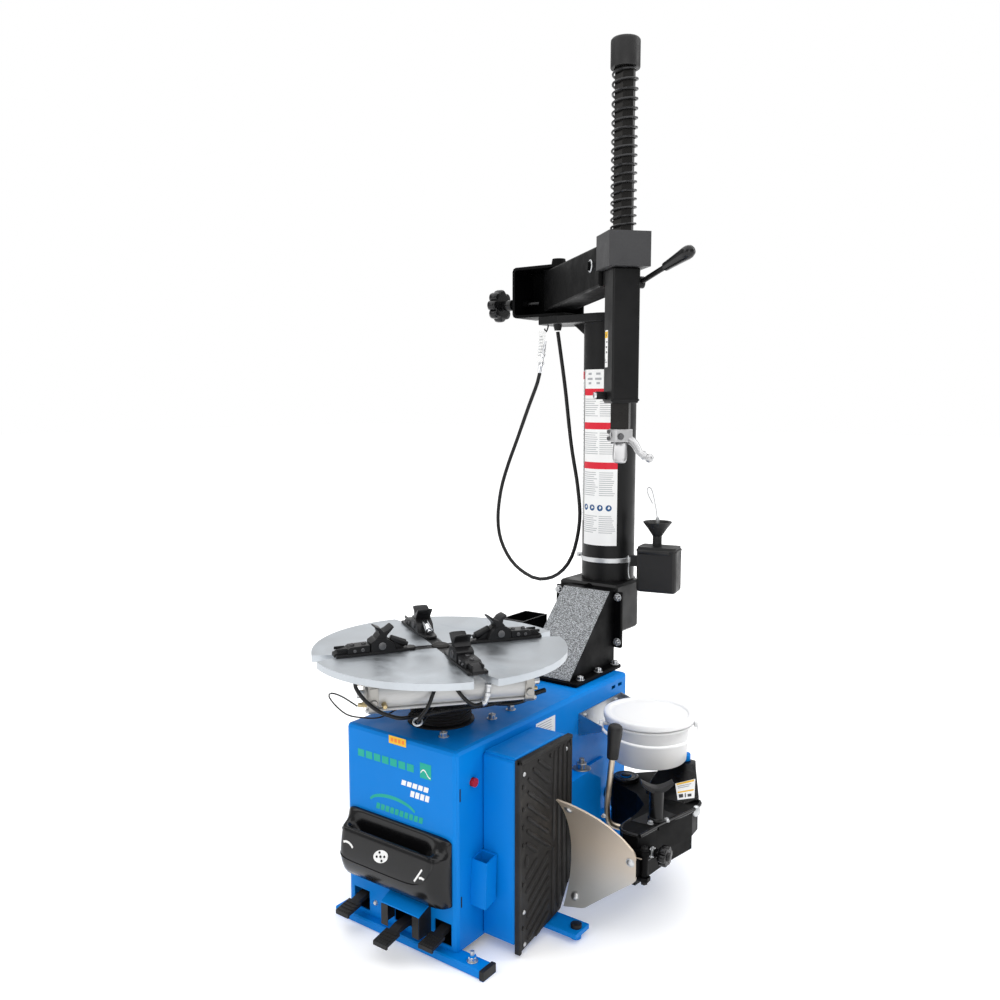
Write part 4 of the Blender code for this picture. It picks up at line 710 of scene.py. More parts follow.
# band clamp, with its worm screw, and the S hook that hangs from it
bm = new()
rings = []
for i in range(97):
    a = math.tau * i / 96
    rings.append([(COLUMN_XY[0] + r * math.cos(a), COLUMN_XY[1] + r * math.sin(a), z) for r,
        z in ((0.0753, 0.7455), (0.0764, 0.7452), (0.0772, 0.746), (0.0772, 0.758), (0.0764, 0.7588),
        (0.0753, 0.7585))])
loft(bm, rings, False)
bmesh.ops.remove_doubles(bm, verts=bm.verts, dist=1e-6)
box(bm, (-0.0735, 0.8545, 0.7465), (-0.0545, 0.872, 0.7575))
drum(bm, (-0.063, 0.844, 0.752), (-0.063, 0.883, 0.752), 0.0036)
s_knots = ((0.096, 0.85, 0.757), (0.104, 0.842, 0.766), (0.112, 0.834, 0.752), (0.108, 0.838, 0.735),
    (0.11, 0.836, 0.716), (0.116, 0.83, 0.706))
tube(bm, smooth(s_knots, 0.003), 0.0019, 10)
piece("band_clamp_ring", bm, ZINC, "frame", ["band_clamp"], bevel=0.0003)

# bracket: satin sides in the darker black with painted shade, speckled face plate, zinc bolts
keep("column_bracket", SHADED_BLACK, 0.0012)
bm = new()
slope = Vector((0, 0.734 - 0.529, 0.683 - 0.478)).normalized()
out = Vector((0, -slope.z, slope.y))
low, high = Vector((0, 0.5306, 0.48)), Vector((0, 0.733, 0.6822))
skin = ((low, -0.001), (high, -0.001), (high, 0.0014), (low, 0.0014))
loft(bm, [[(x, *(p + out * t).yz) for p, t in skin] for x in (-0.0395, 0.1085)])
piece("bracket_face", bm, HAMMER, "frame", slot="column_bracket", bevel=0.0006)
bm = new()
for x in (-0.051, 0.1205):
    for y in (0.564, 0.656, 0.745):
        bolt(bm, (x, y, 0.4792), Z, 0.0092, 0.0085)
for x in (-0.071, 0.12):
    for z in (0.539, 0.664):
        bolt(bm, (x, 0.7568, z), (0, -1, 0), 0.0088, 0.008)
for x, y in ((0.0785, 0.061), (0.0935, 0.218), (0.092, 0.295), (-0.0935, 0.218)):
    bolt(bm, (x, y, CAB_TOP + 0.0002), Z, 0.0092, 0.0098)
bolt(bm, (0.205, 0.0, 0.0203), Z, 0.0094, 0.009)
drum(bm, (0.205, 0.0, 0.028), (0.205, 0.0, 0.043), 0.005, n=16)
drum(bm, (-0.077, 0.001, 0.056), (-0.077, -0.0042, 0.056), 0.0062, 0.0045)
piece("zinc_bolts", bm, ZINC, "frame", slot="column_bracket", bevel=0.0003)

bm = new()
box(bm, (0.2389, -0.0216, 0.0002), (0.2506, 0.0236, 0.0216))
piece("rail_end_cap", bm, PLASTIC, "frame", slot="front_foot_rail", bevel=0.0015)

bm = new()
spin(bm, [(0.023, 0.0), (0.0235, 0.0008), (0.0225, 0.0022)], (0.198, 0.448, 0.2962), n=32)
bolt(bm, (0.198, 0.448, 0.298), Z, 0.0142, 0.0135, False)
drum(bm, (0.198, 0.448, 0.31), (0.198, 0.448, 0.3228), 0.0066, n=20)
piece("ledge_nut", bm, CAP, "frame", slot="column_bracket", bevel=0.0003)

# black sheets on the guard's inner sides and front: painted shade where the guard's insides sit in shadow;
# two narrow black patches on the cabinet's side and a round black stud by the floor go with them
bm = new()
for x0, x1 in ((-0.0188, -0.0178), (0.0848, 0.0858), (0.0892, 0.0902)):
    prism(bm, ((0.0, 0.0445), (-0.0396, 0.0445), (-0.0396, 0.094), (0.0, 0.109)), x0, x1, "X")
box(bm, (-0.0215, -0.0404, 0.0445), (-0.0015, -0.0396, 0.093))
box(bm, (0.07, -0.0404, 0.0445), (0.089, -0.0396, 0.093))
for y, z, tall in ((0.013, 0.37, 0.014), (0.016, 0.13, 0.012)):
    box(bm, (CAB_X + 0.0001, y - 0.0018, z - tall), (CAB_X + 0.0006, y + 0.0018, z + tall))
drum(bm, (0.318, 0.234, 0.0205), (0.318, 0.234, 0.0335), 0.0128, edge=0.001, n=28)
piece("guard_side_sheets", bm, PLASTIC, "frame", slot="cabinet_shell")

# a black sheet over the cabinet's floor: painted shade for the dark inside seen through the openings; it also
# keeps the floor's glow out
bm = new()
box(bm, (-0.1585, 0.004, 0.0212), (0.1585, 0.735, 0.0224))
piece("base_sheet", bm, BLACK, "frame", slot="cabinet_shell")

# ---- cabinet decals ---------------------------------------------------------------------------------
def panel(bm, x0, x1, z0, z1, thick=0.0004, skew=0.0):
    """A printed block on the cabinet's front."""
    prism(bm, ((x0 - skew, z0), (x1 - skew, z0), (x1 + skew, z1), (x0 + skew, z1)), -thick, -0.0001, "Y")


TEAL = ink("teal_print", (0.0, 0.36, 0.27), 0.38, 0.04)
bm = new()
for k in range(7):
    panel(bm, -0.126 + 0.025 * k, -0.106 + 0.025 * k, 0.396, 0.413)
panel(bm, 0.062, 0.094, 0.39, 0.424)
rings = []
for i in range(17):
    t = math.radians(168 - 9.2 * i)
    xa, za = -0.02 + 0.072 * math.cos(t), 0.298 + 0.028 * math.sin(t)
    xb, zb = -0.02 + 0.068 * math.cos(t), 0.296 + 0.022 * math.sin(t)
    rings.append([(xa, -0.0004, za), (xb, -0.0004, zb), (xb, -0.0001, zb), (xa, -0.0001, za)])
loft(bm, rings)
for k in range(10):
    panel(bm, -0.07 + 0.0142 * k, -0.0592 + 0.0142 * k, 0.285, 0.299, skew=0.0015)
piece("front_teal_marks", bm, TEAL, "frame", slot="cabinet_shell")
bm = new()
for k in range(5):
    panel(bm, 0.008 + 0.0162 * k, 0.0206 + 0.0162 * k, 0.36, 0.3715, skew=0.0015)
for k in range(4):
    panel(bm, 0.034 + 0.0142 * k, 0.0448 + 0.0142 * k, 0.339, 0.353, skew=0.0015)
wave = [(0.064 + 0.028 * i / 8, 0.4 + 0.0075 * math.sin(i * 0.62)) for i in range(9)]
rings = [[(x, -0.0006, z), (x, -0.0006, z + 0.003), (x, -0.0003, z + 0.003), (x, -0.0003, z)] for x,
    z in wave]
loft(bm, rings)
piece("front_white_marks", bm, WHITE, "frame", slot="cabinet_shell")
bm = new()
panel(bm, -0.029, 0.022, 0.4475, 0.4655)
piece("front_sticker", bm, YELLOW, "frame", slot="cabinet_shell")
bm = new()
for x in (-0.023, -0.012, -0.001, 0.01):
    panel(bm, x, x + 0.007, 0.4525, 0.461, thick=0.0006)
piece("front_sticker_marks", bm, ORANGE, "frame", slot="cabinet_shell")
bm = new()
prism(bm, ((0.298, 0.402), (0.38, 0.402), (0.38, 0.445), (0.298, 0.445)), CAB_X + 0.0001, CAB_X + 0.0005, "X")
piece("side_sticker", bm, WHITE, "frame", slot="cabinet_shell")
bm = new()
for k in range(6):
    prism(bm, ((0.303, 0.408 + 0.006 * k), (0.362 + 0.01 * draw.random(), 0.408 + 0.006 * k),
        (0.362, 0.4098 + 0.006 * k), (0.303, 0.4098 + 0.006 * k)), CAB_X + 0.0004, CAB_X + 0.0007, "X")
piece("side_sticker_lines", bm, GREYPRINT, "frame", slot="cabinet_shell")

# ---- rubber pad --------------------------------------------------------------------------------------
FACE = 0.2648
bm = new()
outline = ((0.09, 0.006), (0.26, 0.036), (0.3, 0.1), (0.3, 0.443), (0.09, 0.443))
prism(bm, outline, 0.2498, FACE - 0.0052, "X")
prism(bm, ((0.09, 0.433), (0.3, 0.433), (0.3, 0.443), (0.09, 0.443)), FACE - 0.01, FACE, "X")
prism(bm, ((0.09, 0.0065), (0.0985, 0.0075), (0.0985, 0.443), (0.09, 0.443)), FACE - 0.01, FACE, "X")
prism(bm, ((0.294, 0.095), (0.3, 0.1), (0.3, 0.443), (0.294, 0.443)), FACE - 0.01, FACE - 0.0012, "X")
piece("tread_pad", bm, RUBBER, "frame", ["rubber_pad"], bevel=0.0022, segs=3)


def rib(bm, start, stop):
    """A half-round rib on the pad, thinner at its ends."""
    (y0, z0), (y1, z1) = start, stop
    length = math.hypot(y1 - y0, z1 - z0)
    n = max(4, round(length / 0.01))
    ends = 0.004 / length
    shares = [i / n for i in range(n + 1)]
    pts = [(FACE - 0.0054, y0 + (y1 - y0) * t, z0 + (z1 - z0) * t) for t in shares]
    tube(bm, pts, lambda t: 0.004 * (1.35 if ends < t < 1 - ends else 0.8), 12)


RIBS = (
    ((0.2324, 0.423), (0.227, 0.2163)),
    ((0.227, 0.201), (0.2255, 0.037)),
    ((0.25, 0.426), (0.2485, 0.048)),
    ((0.27, 0.426), (0.269, 0.064)),
    ((0.2875, 0.426), (0.287, 0.09)),
    ((0.1649, 0.4223), (0.2147, 0.386)),
    ((0.1451, 0.4095), (0.2121, 0.3546)),
    ((0.1257, 0.394), (0.2123, 0.323)),
    ((0.1259, 0.3644), (0.2096, 0.299)),
    ((0.1235, 0.336), (0.2071, 0.27)),
    ((0.1235, 0.3075), (0.2071, 0.242)),
    ((0.122, 0.2783), (0.215, 0.206)),
    ((0.1193, 0.2501), (0.164, 0.215)),
    ((0.1212, 0.2221), (0.1195, 0.1963)),
    ((0.1621, 0.1986), (0.1192, 0.1695)),
    ((0.2108, 0.196), (0.1194, 0.1375)),
    ((0.21, 0.165), (0.13, 0.113)),
    ((0.21, 0.137), (0.123, 0.08)),
    ((0.21, 0.109), (0.1233, 0.052)),
    ((0.21, 0.081), (0.126, 0.027)),
    ((0.21, 0.054), (0.156, 0.021)),
)
bm = new()
for start, stop in RIBS:
    rib(bm, start, stop)
for y, z in ((0.108, 0.38), (0.108, 0.33), (0.108, 0.29), (0.108, 0.25), (0.108, 0.16), (0.108, 0.06),
    (0.215, 0.418)):
    spin(bm, [(0.0052, 0), (0.0048, 0.003), (0.003, 0.0046), (0, 0.005)], (FACE - 0.0052, y, z), (1, 0, 0),
        14)
piece("tread_ribs", bm, RUBBER, "frame", slot="rubber_pad")
bm = new()
for y, z in ((0.112, 0.408), (0.279, 0.413), (0.112, 0.096), (0.115, 0.021)):
    spin(bm, [(0.005, 0), (0.005, 0.001), (0.0034, 0.0026), (0, 0.003)], (FACE - 0.0053, y, z), (1, 0, 0), 16)
piece("tread_screws", bm, ZINC, "frame", slot="rubber_pad")

# ---- turntable -----------------------------------------------------------------------------------
bm = new()
spin(bm, [(0.0, PLATE_LOW), (0.2925, PLATE_LOW), (0.2925, TABLE_TOP), (0.0, TABLE_TOP)], (*TABLE_XY, 0),
    n=160)
cuts = []
for angle in SLOT_ANGLES:
    cut = new()
    turned = TABLE @ Matrix.Rotation(math.radians(angle), 4, "Z")
    outline = ((0.0, -0.0155), (0.258, -0.0155), (0.302, -0.03), (0.302, 0.03), (0.258, 0.0155),
        (0.0, 0.0155))
    prism(cut, outline, PLATE_LOW - 0.01, TABLE_TOP + 0.01, m=turned)
    cuts.append(cut)
bore = new()
spin(bore, [(0.021, PLATE_LOW - 0.02), (0.021, TABLE_TOP + 0.02)], (*TABLE_XY, 0), n=32)
cuts.append(bore)
piece("table_plate", bm, GROUND, "turntable", ["turntable_plate"], bevel=0.0013, segs=2, cuts=cuts)

bm = new()
profile = [(0.0, 0.428), (0.03, 0.428), (0.03, 0.4715), (0.066, 0.472)]
for k in range(4):
    z = 0.4745 + 0.0072 * k
    profile += [(0.0716 - 0.0006 * k, z), (0.0722 - 0.0006 * k, z + 0.0022),
        (0.0686 - 0.0006 * k, z + 0.0046)]
profile += [(0.064, 0.505), (0.056, 0.5085), (0.049, 0.518), (0.048, 0.524), (0.048, 0.59), (0.052, 0.596),
    (0.052, PLATE_LOW - GAP)]
profile += [(0.0197, PLATE_LOW - GAP), (0.0197, TABLE_TOP + 0.001), (0.016, TABLE_TOP + 0.0046),
    (0.012, TABLE_TOP + 0.0052)]
profile += [(0.0105, TABLE_TOP + 0.004), (0.0, TABLE_TOP + 0.0038)]
spin(bm, profile, (*TABLE_XY, 0), n=72)
piece("hub_boot", bm, RUBBER, "turntable", ["turntable_hub"])

# dark guide strips in the slots, short of the jaws' stems
bm = new()
for angle in SLOT_ANGLES:
    turned = TABLE @ Matrix.Rotation(math.radians(angle), 4, "Z")
    box(bm, (0.0215, -0.015, PLATE_LOW + 0.001), (0.093, 0.015, TABLE_TOP - 0.0012), turned)
    for v in (-0.0125, 0.0125):
        box(bm, (0.03, v - 0.0022, TABLE_TOP - 0.002), (0.072, v + 0.0022, TABLE_TOP - 0.0002), turned)
piece("slot_guides", bm, CAST, "turntable", slot="turntable_plate", bevel=0.0004)

TOP = TABLE_TOP + GAP
JAW_R = 0.135
for index, angle in enumerate(SLOT_ANGLES):
    jaw = TABLE @ Matrix.Rotation(math.radians(angle), 4, "Z") @ Matrix.Translation((JAW_R, 0, TOP))
    body = f"jaw_{index + 1}"
    bm = new()
    # long tongue along the slot, with a mitred inner tip
    tongue = [(-0.074, -0.006), (-0.068, -0.0135), (-0.03, -0.019), (0.005, -0.0225), (0.112, -0.0225)]
    tongue += [(u, -v) for u, v in reversed(tongue)]
    prism(bm, tongue, 0.0, 0.0062, m=jaw)
    prism(bm, ((-0.05, 0.004), (-0.012, 0.004), (0.006, 0.03), (-0.008, 0.033), (-0.024, 0.021)), -0.0075,
        0.0075, "Y", jaw)
    prism(bm, ((-0.025, 0.004), (0.033, 0.004), (0.033, 0.027), (0.022, 0.034), (-0.002, 0.0345),
        (-0.018, 0.023)), -0.0205, 0.0205, "Y", jaw)
    prism(bm, ((0.035, 0.005), (0.086, 0.005), (0.086, 0.016), (0.078, 0.021), (0.035, 0.0225)), -0.0185,
        0.0185, "Y", jaw)
    prism(bm, ((0.084, 0.004), (0.115, 0.0), (0.114, 0.007), (0.1, 0.015), (0.084, 0.018)), -0.0135, 0.0135,
        "Y", jaw)
    for v in (-0.0135, 0.0115):
        box(bm, (0.086, v - 0.001, 0.012), (0.11, v + 0.003, 0.019), jaw)
    box(bm, (-0.016, -0.0144, -0.02), (0.044, 0.0144, 0.003), jaw)
    box(bm, (-0.02, -0.0228, -0.0228), (0.048, 0.0228, -0.0157), jaw)
    piece(f"jaw_base_{index + 1}", bm, CAST, body, [f"clamp_jaw_{index + 1}"], bevel=0.0016, segs=2)
    bm = new()
    # two-beaked claw: the outer beak grips a rim from inside, the inner one from outside
    claw = (
        (-0.002, 0.03),
        (0.017, 0.03),
        (0.0195, 0.036),
        (0.013, 0.044),
        (0.015, 0.052),
        (0.0235, 0.06),
        (0.022, 0.0628),
        (0.01, 0.0575),
        (0.003, 0.049),
        (-0.006, 0.053),
        (-0.018, 0.0615),
        (-0.0205, 0.059),
        (-0.011, 0.048),
        (-0.0045, 0.041),
    )
    rings = []
    for v, squeeze in ((-0.0185, 0.96), (-0.01, 1.0), (0.0, 1.0), (0.01, 1.0), (0.0185, 0.96)):
        rings.append([(u, v, 0.03 + (w - 0.03) * squeeze) for u, w in claw])
    loft(bm, rings, m=jaw)
    piece(f"jaw_claw_{index + 1}", bm, CAST, body, slot=f"clamp_jaw_{index + 1}", bevel=0.0009, segs=2)
    bm = new()
    for u in (0.046, 0.072):
        socket_screw(bm, (u, 0.0, 0.0212), Z, 0.0052, 0.004, jaw)
    for side in (-1, 1):
        spin(bm, [(0.0085, 0), (0.0085, 0.0022), (0.007, 0.0034), (0, 0.0036)], (0.008, side * 0.0203, 0.018),
            (0, side, 0), 20, jaw)
        socket_screw(bm, (0.052, side * 0.0184, 0.013), (0, side, 0), 0.0042, 0.003, jaw)
        bolt(bm, (0.07, side * 0.0184, 0.012), (0, side, 0), 0.004, 0.003, False, jaw)
    piece(f"jaw_screws_{index + 1}", bm, IRON, body, slot=f"clamp_jaw_{index + 1}")
    bm = new()
    drum(bm, (-0.05, 0, 0.0145), (-0.015, 0, 0.029), 0.0086, edge=0.0015, n=24, m=jaw)
    drum(bm, (-0.056, 0, 0.012), (-0.0495, 0, 0.0147), 0.0052, edge=0.001, n=20, m=jaw)
    piece(f"jaw_roller_{index + 1}", bm, CHROME if index == 1 else CAST, body, slot=f"clamp_jaw_{index + 1}")

CYL_Z = 0.576
for label, side in (("front", -1), ("rear", 1)):
    v = side * 0.108
    bm = new()
    drum(bm, (-0.164, v, CYL_Z), (0.164, v, CYL_Z), 0.0365, edge=0.0012, n=56, m=CYLINDERS)
    for rod_v in (v + 0.0385 * 0.72, v - 0.0385 * 0.72):
        drum(bm, (-0.163, rod_v, CYL_Z - 0.029), (0.163, rod_v, CYL_Z - 0.029), 0.0034, n=12, m=CYLINDERS)
    box(bm, (-0.022, min(v, side * 0.049), 0.565), (0.022, max(v, side * 0.049), 0.585), CYLINDERS)
    piece(f"air_cylinder_{label}", bm, BARREL, "turntable", [f"clamp_cylinder_{label}"], bevel=0.0015)
    bm = new()
    for u, s in ((-0.172, -1), (0.172, 1)):
        prism(bm, rounded(v - 0.039, CYL_Z - 0.039, v + 0.039, CYL_Z + 0.039, 0.02), u - 0.0105, u + 0.0105,
            "X", CYLINDERS)
        drum(bm, (u + s * 0.009, v, CYL_Z), (u + s * 0.0165, v, CYL_Z), 0.024, edge=0.002, n=36, m=CYLINDERS)
        drum(bm, (u, v - 0.03, CYL_Z - 0.012), (u, v - 0.044, CYL_Z - 0.012), 0.0085, edge=0.0012, n=24,
            m=CYLINDERS)
        box(bm, (u - 0.0085, v - 0.042, CYL_Z + 0.004), (u + 0.0085, v - 0.036, CYL_Z + 0.022), CYLINDERS)
    piece(f"cylinder_caps_{label}", bm, CAP, "turntable", slot=f"clamp_cylinder_{label}", bevel=0.0012)
    bm = new()
    for s in (-1, 1):
        drum(bm, (s * 0.182, v, CYL_Z), (s * 0.204, v, CYL_Z), 0.0088, edge=0.001, n=20, m=CYLINDERS)
        for dv in (-0.029, 0.029):
            for dz in (-0.029, 0.029):
                bolt(bm, (s * 0.1825, v + dv, CYL_Z + dz), (s, 0, 0), 0.0052, 0.0045, m=CYLINDERS)
    piece(f"cylinder_fittings_{label}", bm, ZINC, "turntable", slot=f"clamp_cylinder_{label}")

BRASS = metal("dull_brass", (0.5, 0.4, 0.22), 0.38)
bm = new()
for u, v, z, way in (
    (-0.184, -0.12, 0.556, (-1, 0, 0)),
    (-0.184, -0.096, 0.596, (-1, 0, 0)),
    (-0.15, -0.142, 0.56, (0, -1, 0)),
    (-0.184, 0.112, 0.558, (-1, 0, 0)),
    (0.184, -0.1, 0.556, (1, 0, 0)),
):
    bolt(bm, (u, v, z), way, 0.0062, 0.01, False, CYLINDERS)
    inner, outer = ((u + reach * way[0], v + reach * way[1], z) for reach in (0.009, 0.019))
    drum(bm, inner, outer, 0.0046, m=CYLINDERS)
piece("brass_fittings", bm, BRASS, "turntable", slot="clamp_cylinder_front")
bm = new()
drum(bm, (0, 0.145, 0.524), (0, 0.145, 0.538), 0.056, edge=0.003, n=48)
ROUTES = (
    ((-0.0158, -0.1129, 0.618), (-0.0158, -0.1129, 0.605), (-0.0004, -0.1066, 0.5818),
    (0.017, -0.0851, 0.5546), (0.0292, -0.0574, 0.5369), (0.0403, -0.0277, 0.5258), (0.034, 0.03, 0.52),
    (-0.01, 0.096, 0.526)),
    ((0.09, 0.02, 0.618), (0.0905, 0.0184, 0.592), (0.0918, 0.0072, 0.574), (0.0878, -0.004, 0.551),
    (0.0746, -0.0171, 0.5245), (0.064, 0.006, 0.512), (0.04, 0.056, 0.516), (0.024, 0.1, 0.526)),
    ((0.112, 0.045, 0.618), (0.1155, 0.0493, 0.5988), (0.1338, 0.0592, 0.5685), (0.148, 0.08, 0.547),
    (0.1582, 0.102, 0.548)),
    ((-0.15, 0.21, 0.56), (-0.17, 0.15, 0.53), (-0.12, 0.13, 0.52), (-0.052, 0.138, 0.53)),
    ((0.19, 0.25, 0.565), (0.205, 0.2, 0.54), (0.15, 0.17, 0.526), (0.054, 0.15, 0.53)),
)
for route in ROUTES:
    tube(bm, smooth(route, 0.006), 0.0043, 12)
loop = ((-0.0353, -0.0893, 0.5536), (-0.0554, -0.1141, 0.5773), (-0.0692, -0.1312, 0.5866),
    (-0.0726, -0.1353, 0.5795), (-0.0633, -0.1238, 0.5573), (-0.0483, -0.1053, 0.5364),
    (-0.0279, -0.0801, 0.5274), (-0.015, -0.04, 0.52), (-0.02, 0.03, 0.523), (-0.03, 0.098, 0.53))
tube(bm, smooth(loop, 0.005), 0.0017, 8)
piece("table_hoses", bm, HOSE, "turntable", ["air_hose_ring"])
bm = new()
conduit = smooth(((0.02, 0.05, 0.523), (0.0447, -0.0048, 0.525), (0.0895, 0.0699, 0.527),
    (0.1411, 0.1475, 0.53), (0.176, 0.228, 0.533), (0.1923, 0.2914, 0.535)), 0.0018)
count = len(conduit) - 1
tube(bm, conduit, lambda t: 0.0058 if round(t * count) % 2 else 0.0046, 14)
piece("ribbed_conduit", bm, HOSE, "turntable", slot="air_hose_ring")
bm = new()
ring(bm, (0.0733, -0.0188, 0.5218), (0.35, -0.45, 0.8), 0.009, 0.0023, 28, 8)
elbow = smooth(((0.156, 0.098, 0.548), (0.159, 0.1035, 0.55), (0.1622, 0.107, 0.5572), (0.164, 0.109, 0.57),
    (0.1655, 0.111, 0.59)), 0.0015)
beads = len(elbow) - 1
tube(bm, elbow, lambda t: 0.006 + 0.0016 * (math.sin(t * beads * 0.45) > 0.3), 16)
piece("hose_rings", bm, ZINC, "turntable", slot="air_hose_ring")

# ---- pedal cover -------------------------------------------------------------------------------------
bm = new()
# (y, z, trough y, trough z) of the moulded hood: back wall, trough behind the lip, slanting face, belly
COVER = (
    (-0.001, 0.272, -0.001, 0.272),
    (-0.008, 0.272, -0.007, 0.272),
    (-0.0115, 0.27, -0.0095, 0.27),
    (-0.014, 0.265, -0.01, 0.265),
    (-0.0165, 0.259, -0.0104, 0.256),
    (-0.0185, 0.254, -0.011, 0.242),
    (-0.021, 0.25, -0.01, 0.236),
    (-0.0245, 0.2465, -0.011, 0.221),
    (-0.029, 0.244, -0.028, 0.218),
    (-0.033, 0.242, -0.031, 0.234),
    (-0.0362, 0.24, -0.0345, 0.2398),
    (-0.0385, 0.2392, -0.0385, 0.2392),
    (-0.0408, 0.236, -0.0408, 0.236),
    (-0.0428, 0.229, -0.0428, 0.229),
    (-0.0452, 0.218, -0.0452, 0.218),
    (-0.0482, 0.201, -0.0482, 0.201),
    (-0.05, 0.185, -0.05, 0.185),
    (-0.0495, 0.17, -0.0495, 0.17),
    (-0.0472, 0.16, -0.0472, 0.16),
    (-0.044, 0.15, -0.044, 0.15),
    (-0.0385, 0.137, -0.0385, 0.137),
    (-0.029, 0.124, -0.029, 0.124),
    (-0.018, 0.1175, -0.018, 0.1175),
    (-0.008, 0.1155, -0.008, 0.1155),
    (-0.001, 0.115, -0.001, 0.115),
)
rings = []
X0, X1 = -0.1535, 0.151
PULLS = (
    (X0, 0.0),
    (X0 + 0.0004, 0.22),
    (X0 + 0.002, 0.45),
    (X0 + 0.005, 0.66),
    (X0 + 0.01, 0.86),
    (X0 + 0.016, 0.97),
    (X0 + 0.024, 1.0),
    (X0 + 0.03, 1.0),
    (X0 + 0.036, 1.0),
    (X0 + 0.042, 1.0),
    (X0 + 0.048, 1.0),
    (X1 - 0.074, 1.0),
    (X1 - 0.066, 1.0),
    (X1 - 0.058, 1.0),
    (X1 - 0.05, 1.0),
    (X1 - 0.04, 1.0),
    (X1 - 0.032, 1.0),
    (X1 - 0.024, 0.97),
    (X1 - 0.015, 0.88),
    (X1 - 0.008, 0.72),
    (X1 - 0.003, 0.52),
    (X1 - 0.0005, 0.3),
    (X1, 0.0),
)
for x, pull in PULLS:
    row = []
    deep = max(0.0, min(1.0, (x - X0 - 0.018) / 0.03, (X1 - 0.024 - x) / 0.05))
    deep = deep * deep * (3 - 2 * deep)
    for y, z, trough_y, trough_z in COVER:
        zc = 0.1935
        y, z = y + (trough_y - y) * deep, z + (trough_z - z) * deep
        row.append((x, min(-0.001, y * max(pull, 0.04)), zc + (z - zc) * (0.86 + 0.14 * pull)))
    rings.append(row)
loft(bm, rings)
piece("pedal_hood", bm, COVER_MAT, "frame", ["pedal_cover"], sharp=60)
bm = new()
# the raised contour that rings the face
contour = (
    (-0.144, 0.23), (-0.136, 0.2375), (-0.11, 0.239), (-0.06, 0.2392), (0.0, 0.2392), (0.07, 0.2392),
    (0.108, 0.239),
    (0.127, 0.235), (0.13, 0.22), (0.118, 0.196), (0.098, 0.178), (0.07, 0.17), (0.02, 0.168), (-0.06, 0.168),
    (-0.12, 0.169), (-0.144, 0.178),
)


def cover_y(x, z):
    """The hood's face at a height, drawn back near its ends."""
    pull = 1.0
    for (xa, pa), (xb, pb) in zip(PULLS, PULLS[1:]):
        if xa <= x <= xb:
            pull = pa + (pb - pa) * (x - xa) / (xb - xa)
    for (ya, za, _, _), (yb, zb, _, _) in zip(COVER[11:], COVER[12:]):
        if zb <= z <= za:
            return (ya + (yb - ya) * (za - z) / (za - zb)) * pull
    return -0.0385 * pull


line = [(x, cover_y(x, z) - 0.0002, z) for x, _, z in smooth([(x, 0.0, z) for x, z in contour], 0.006)]
tube(bm, line, 0.0017, 8)
piece("hood_contour", bm, COVER_MAT, "frame", slot="pedal_cover")
bm = new()


def on_face(bm, points, width):
    """A painted stroke on the hood's face."""
    rings = []
    pts = [Vector((x, 0, z)) for x, z in points]
    for i, p in enumerate(pts):
        way = (pts[min(i + 1, len(pts) - 1)] - pts[max(i - 1, 0)]).normalized()
        side = Vector((-way.z, 0, way.x)) * width / 2
        row = []
        for q in (p - side, p + side):
            row.append((q.x, cover_y(q.x, q.z) - 0.0009, q.z))
        for q in (p + side, p - side):
            row.append((q.x, cover_y(q.x, q.z) + 0.0006, q.z))
        rings.append(row)
    loft(bm, rings)


on_face(bm, [(-0.129, 0.207), (-0.122, 0.2095), (-0.113, 0.209), (-0.105, 0.206), (-0.099, 0.201)], 0.0046)
on_face(bm, [(0.087, 0.182), (0.096, 0.196), (0.106, 0.212)], 0.004)
on_face(bm, [(0.1, 0.193), (0.106, 0.195), (0.115, 0.193)], 0.0046)
DISC_X, DISC_Z = -0.013, 0.206
disc = []
for i in range(28):
    t = math.tau * i / 28
    disc.append((DISC_X + 0.0215 * math.cos(t), DISC_Z + 0.015 * math.sin(t + 0.35)))
rings = []
for share in (1.0, 0.3):
    row = []
    for x, z in disc:
        height = DISC_Z + (z - DISC_Z) * share
        row.append((DISC_X + (x - DISC_X) * share, cover_y(x, height) - 0.0008, height))
    rings.append(row)
loft(bm, rings)
piece("hood_pictograms", bm, WHITE, "frame", slot="pedal_cover")
bm = new()
dots = []
for degrees in (20, 110, 200, 290):
    t = math.radians(degrees)
    dots.append((DISC_X + 0.0118 * math.cos(t), DISC_Z + 0.0086 * math.sin(t), 0.0026, 12))
for x, z, r, sides in (*dots, (DISC_X, DISC_Z, 0.0028, 14)):
    drum(bm, (x, cover_y(x, z) - 0.003, z), (x, cover_y(x, z) + 0.001, z), r, n=sides)
piece("pictogram_dots", bm, COVER_MAT, "frame", slot="pedal_cover")

# ---- swing arm, sleeve, tool bar -----------------------------------------------------------------------
OILED = coating("oiled_black_steel", (0.03, 0.029, 0.028), 0.28, 400.0, 0.05, 0.3, metal=0.85, scuff=0.12)
SPRING = coating("black_spring_steel", (0.016, 0.016, 0.017), 0.26, 500.0, 0.05, 0.2, metal=0.3, coat=0.2)
keep("hex_bar", OILED, 0.0012)
bm = new()
spin(
    bm,
    [(0.0, 2.02), (0.027, 2.02), (0.031, 2.019), (0.0335, 2.016), (0.034, 2.012), (0.034, 1.9565),
    (0.033, 1.9545), (0.0262, 1.954), (0.0262, 1.9565), (0.0, 1.9565)][::-1],
    HEX.translation,
    n=56,
)
piece("bar_end_cap", bm, PLASTIC, "tool_bar", ["bar_cap"])
bm = new()
coil = []
steps = 20
low, high = 1.5898, 1.951
for i in range(18 * steps + 1):
    share = i / (18 * steps)
    eased = share + 0.1 * share * (share - 1.0)
    a = math.tau * i / steps
    coil.append(HEX.translation + Vector((0.0283 * math.cos(a), 0.0283 * math.sin(a),
        low + (high - low) * eased)))
tube(bm, coil, 0.0026, 8)
spring = piece("coil_spring", bm, SPRING, "arm", ["bar_spring"])
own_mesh(spring)

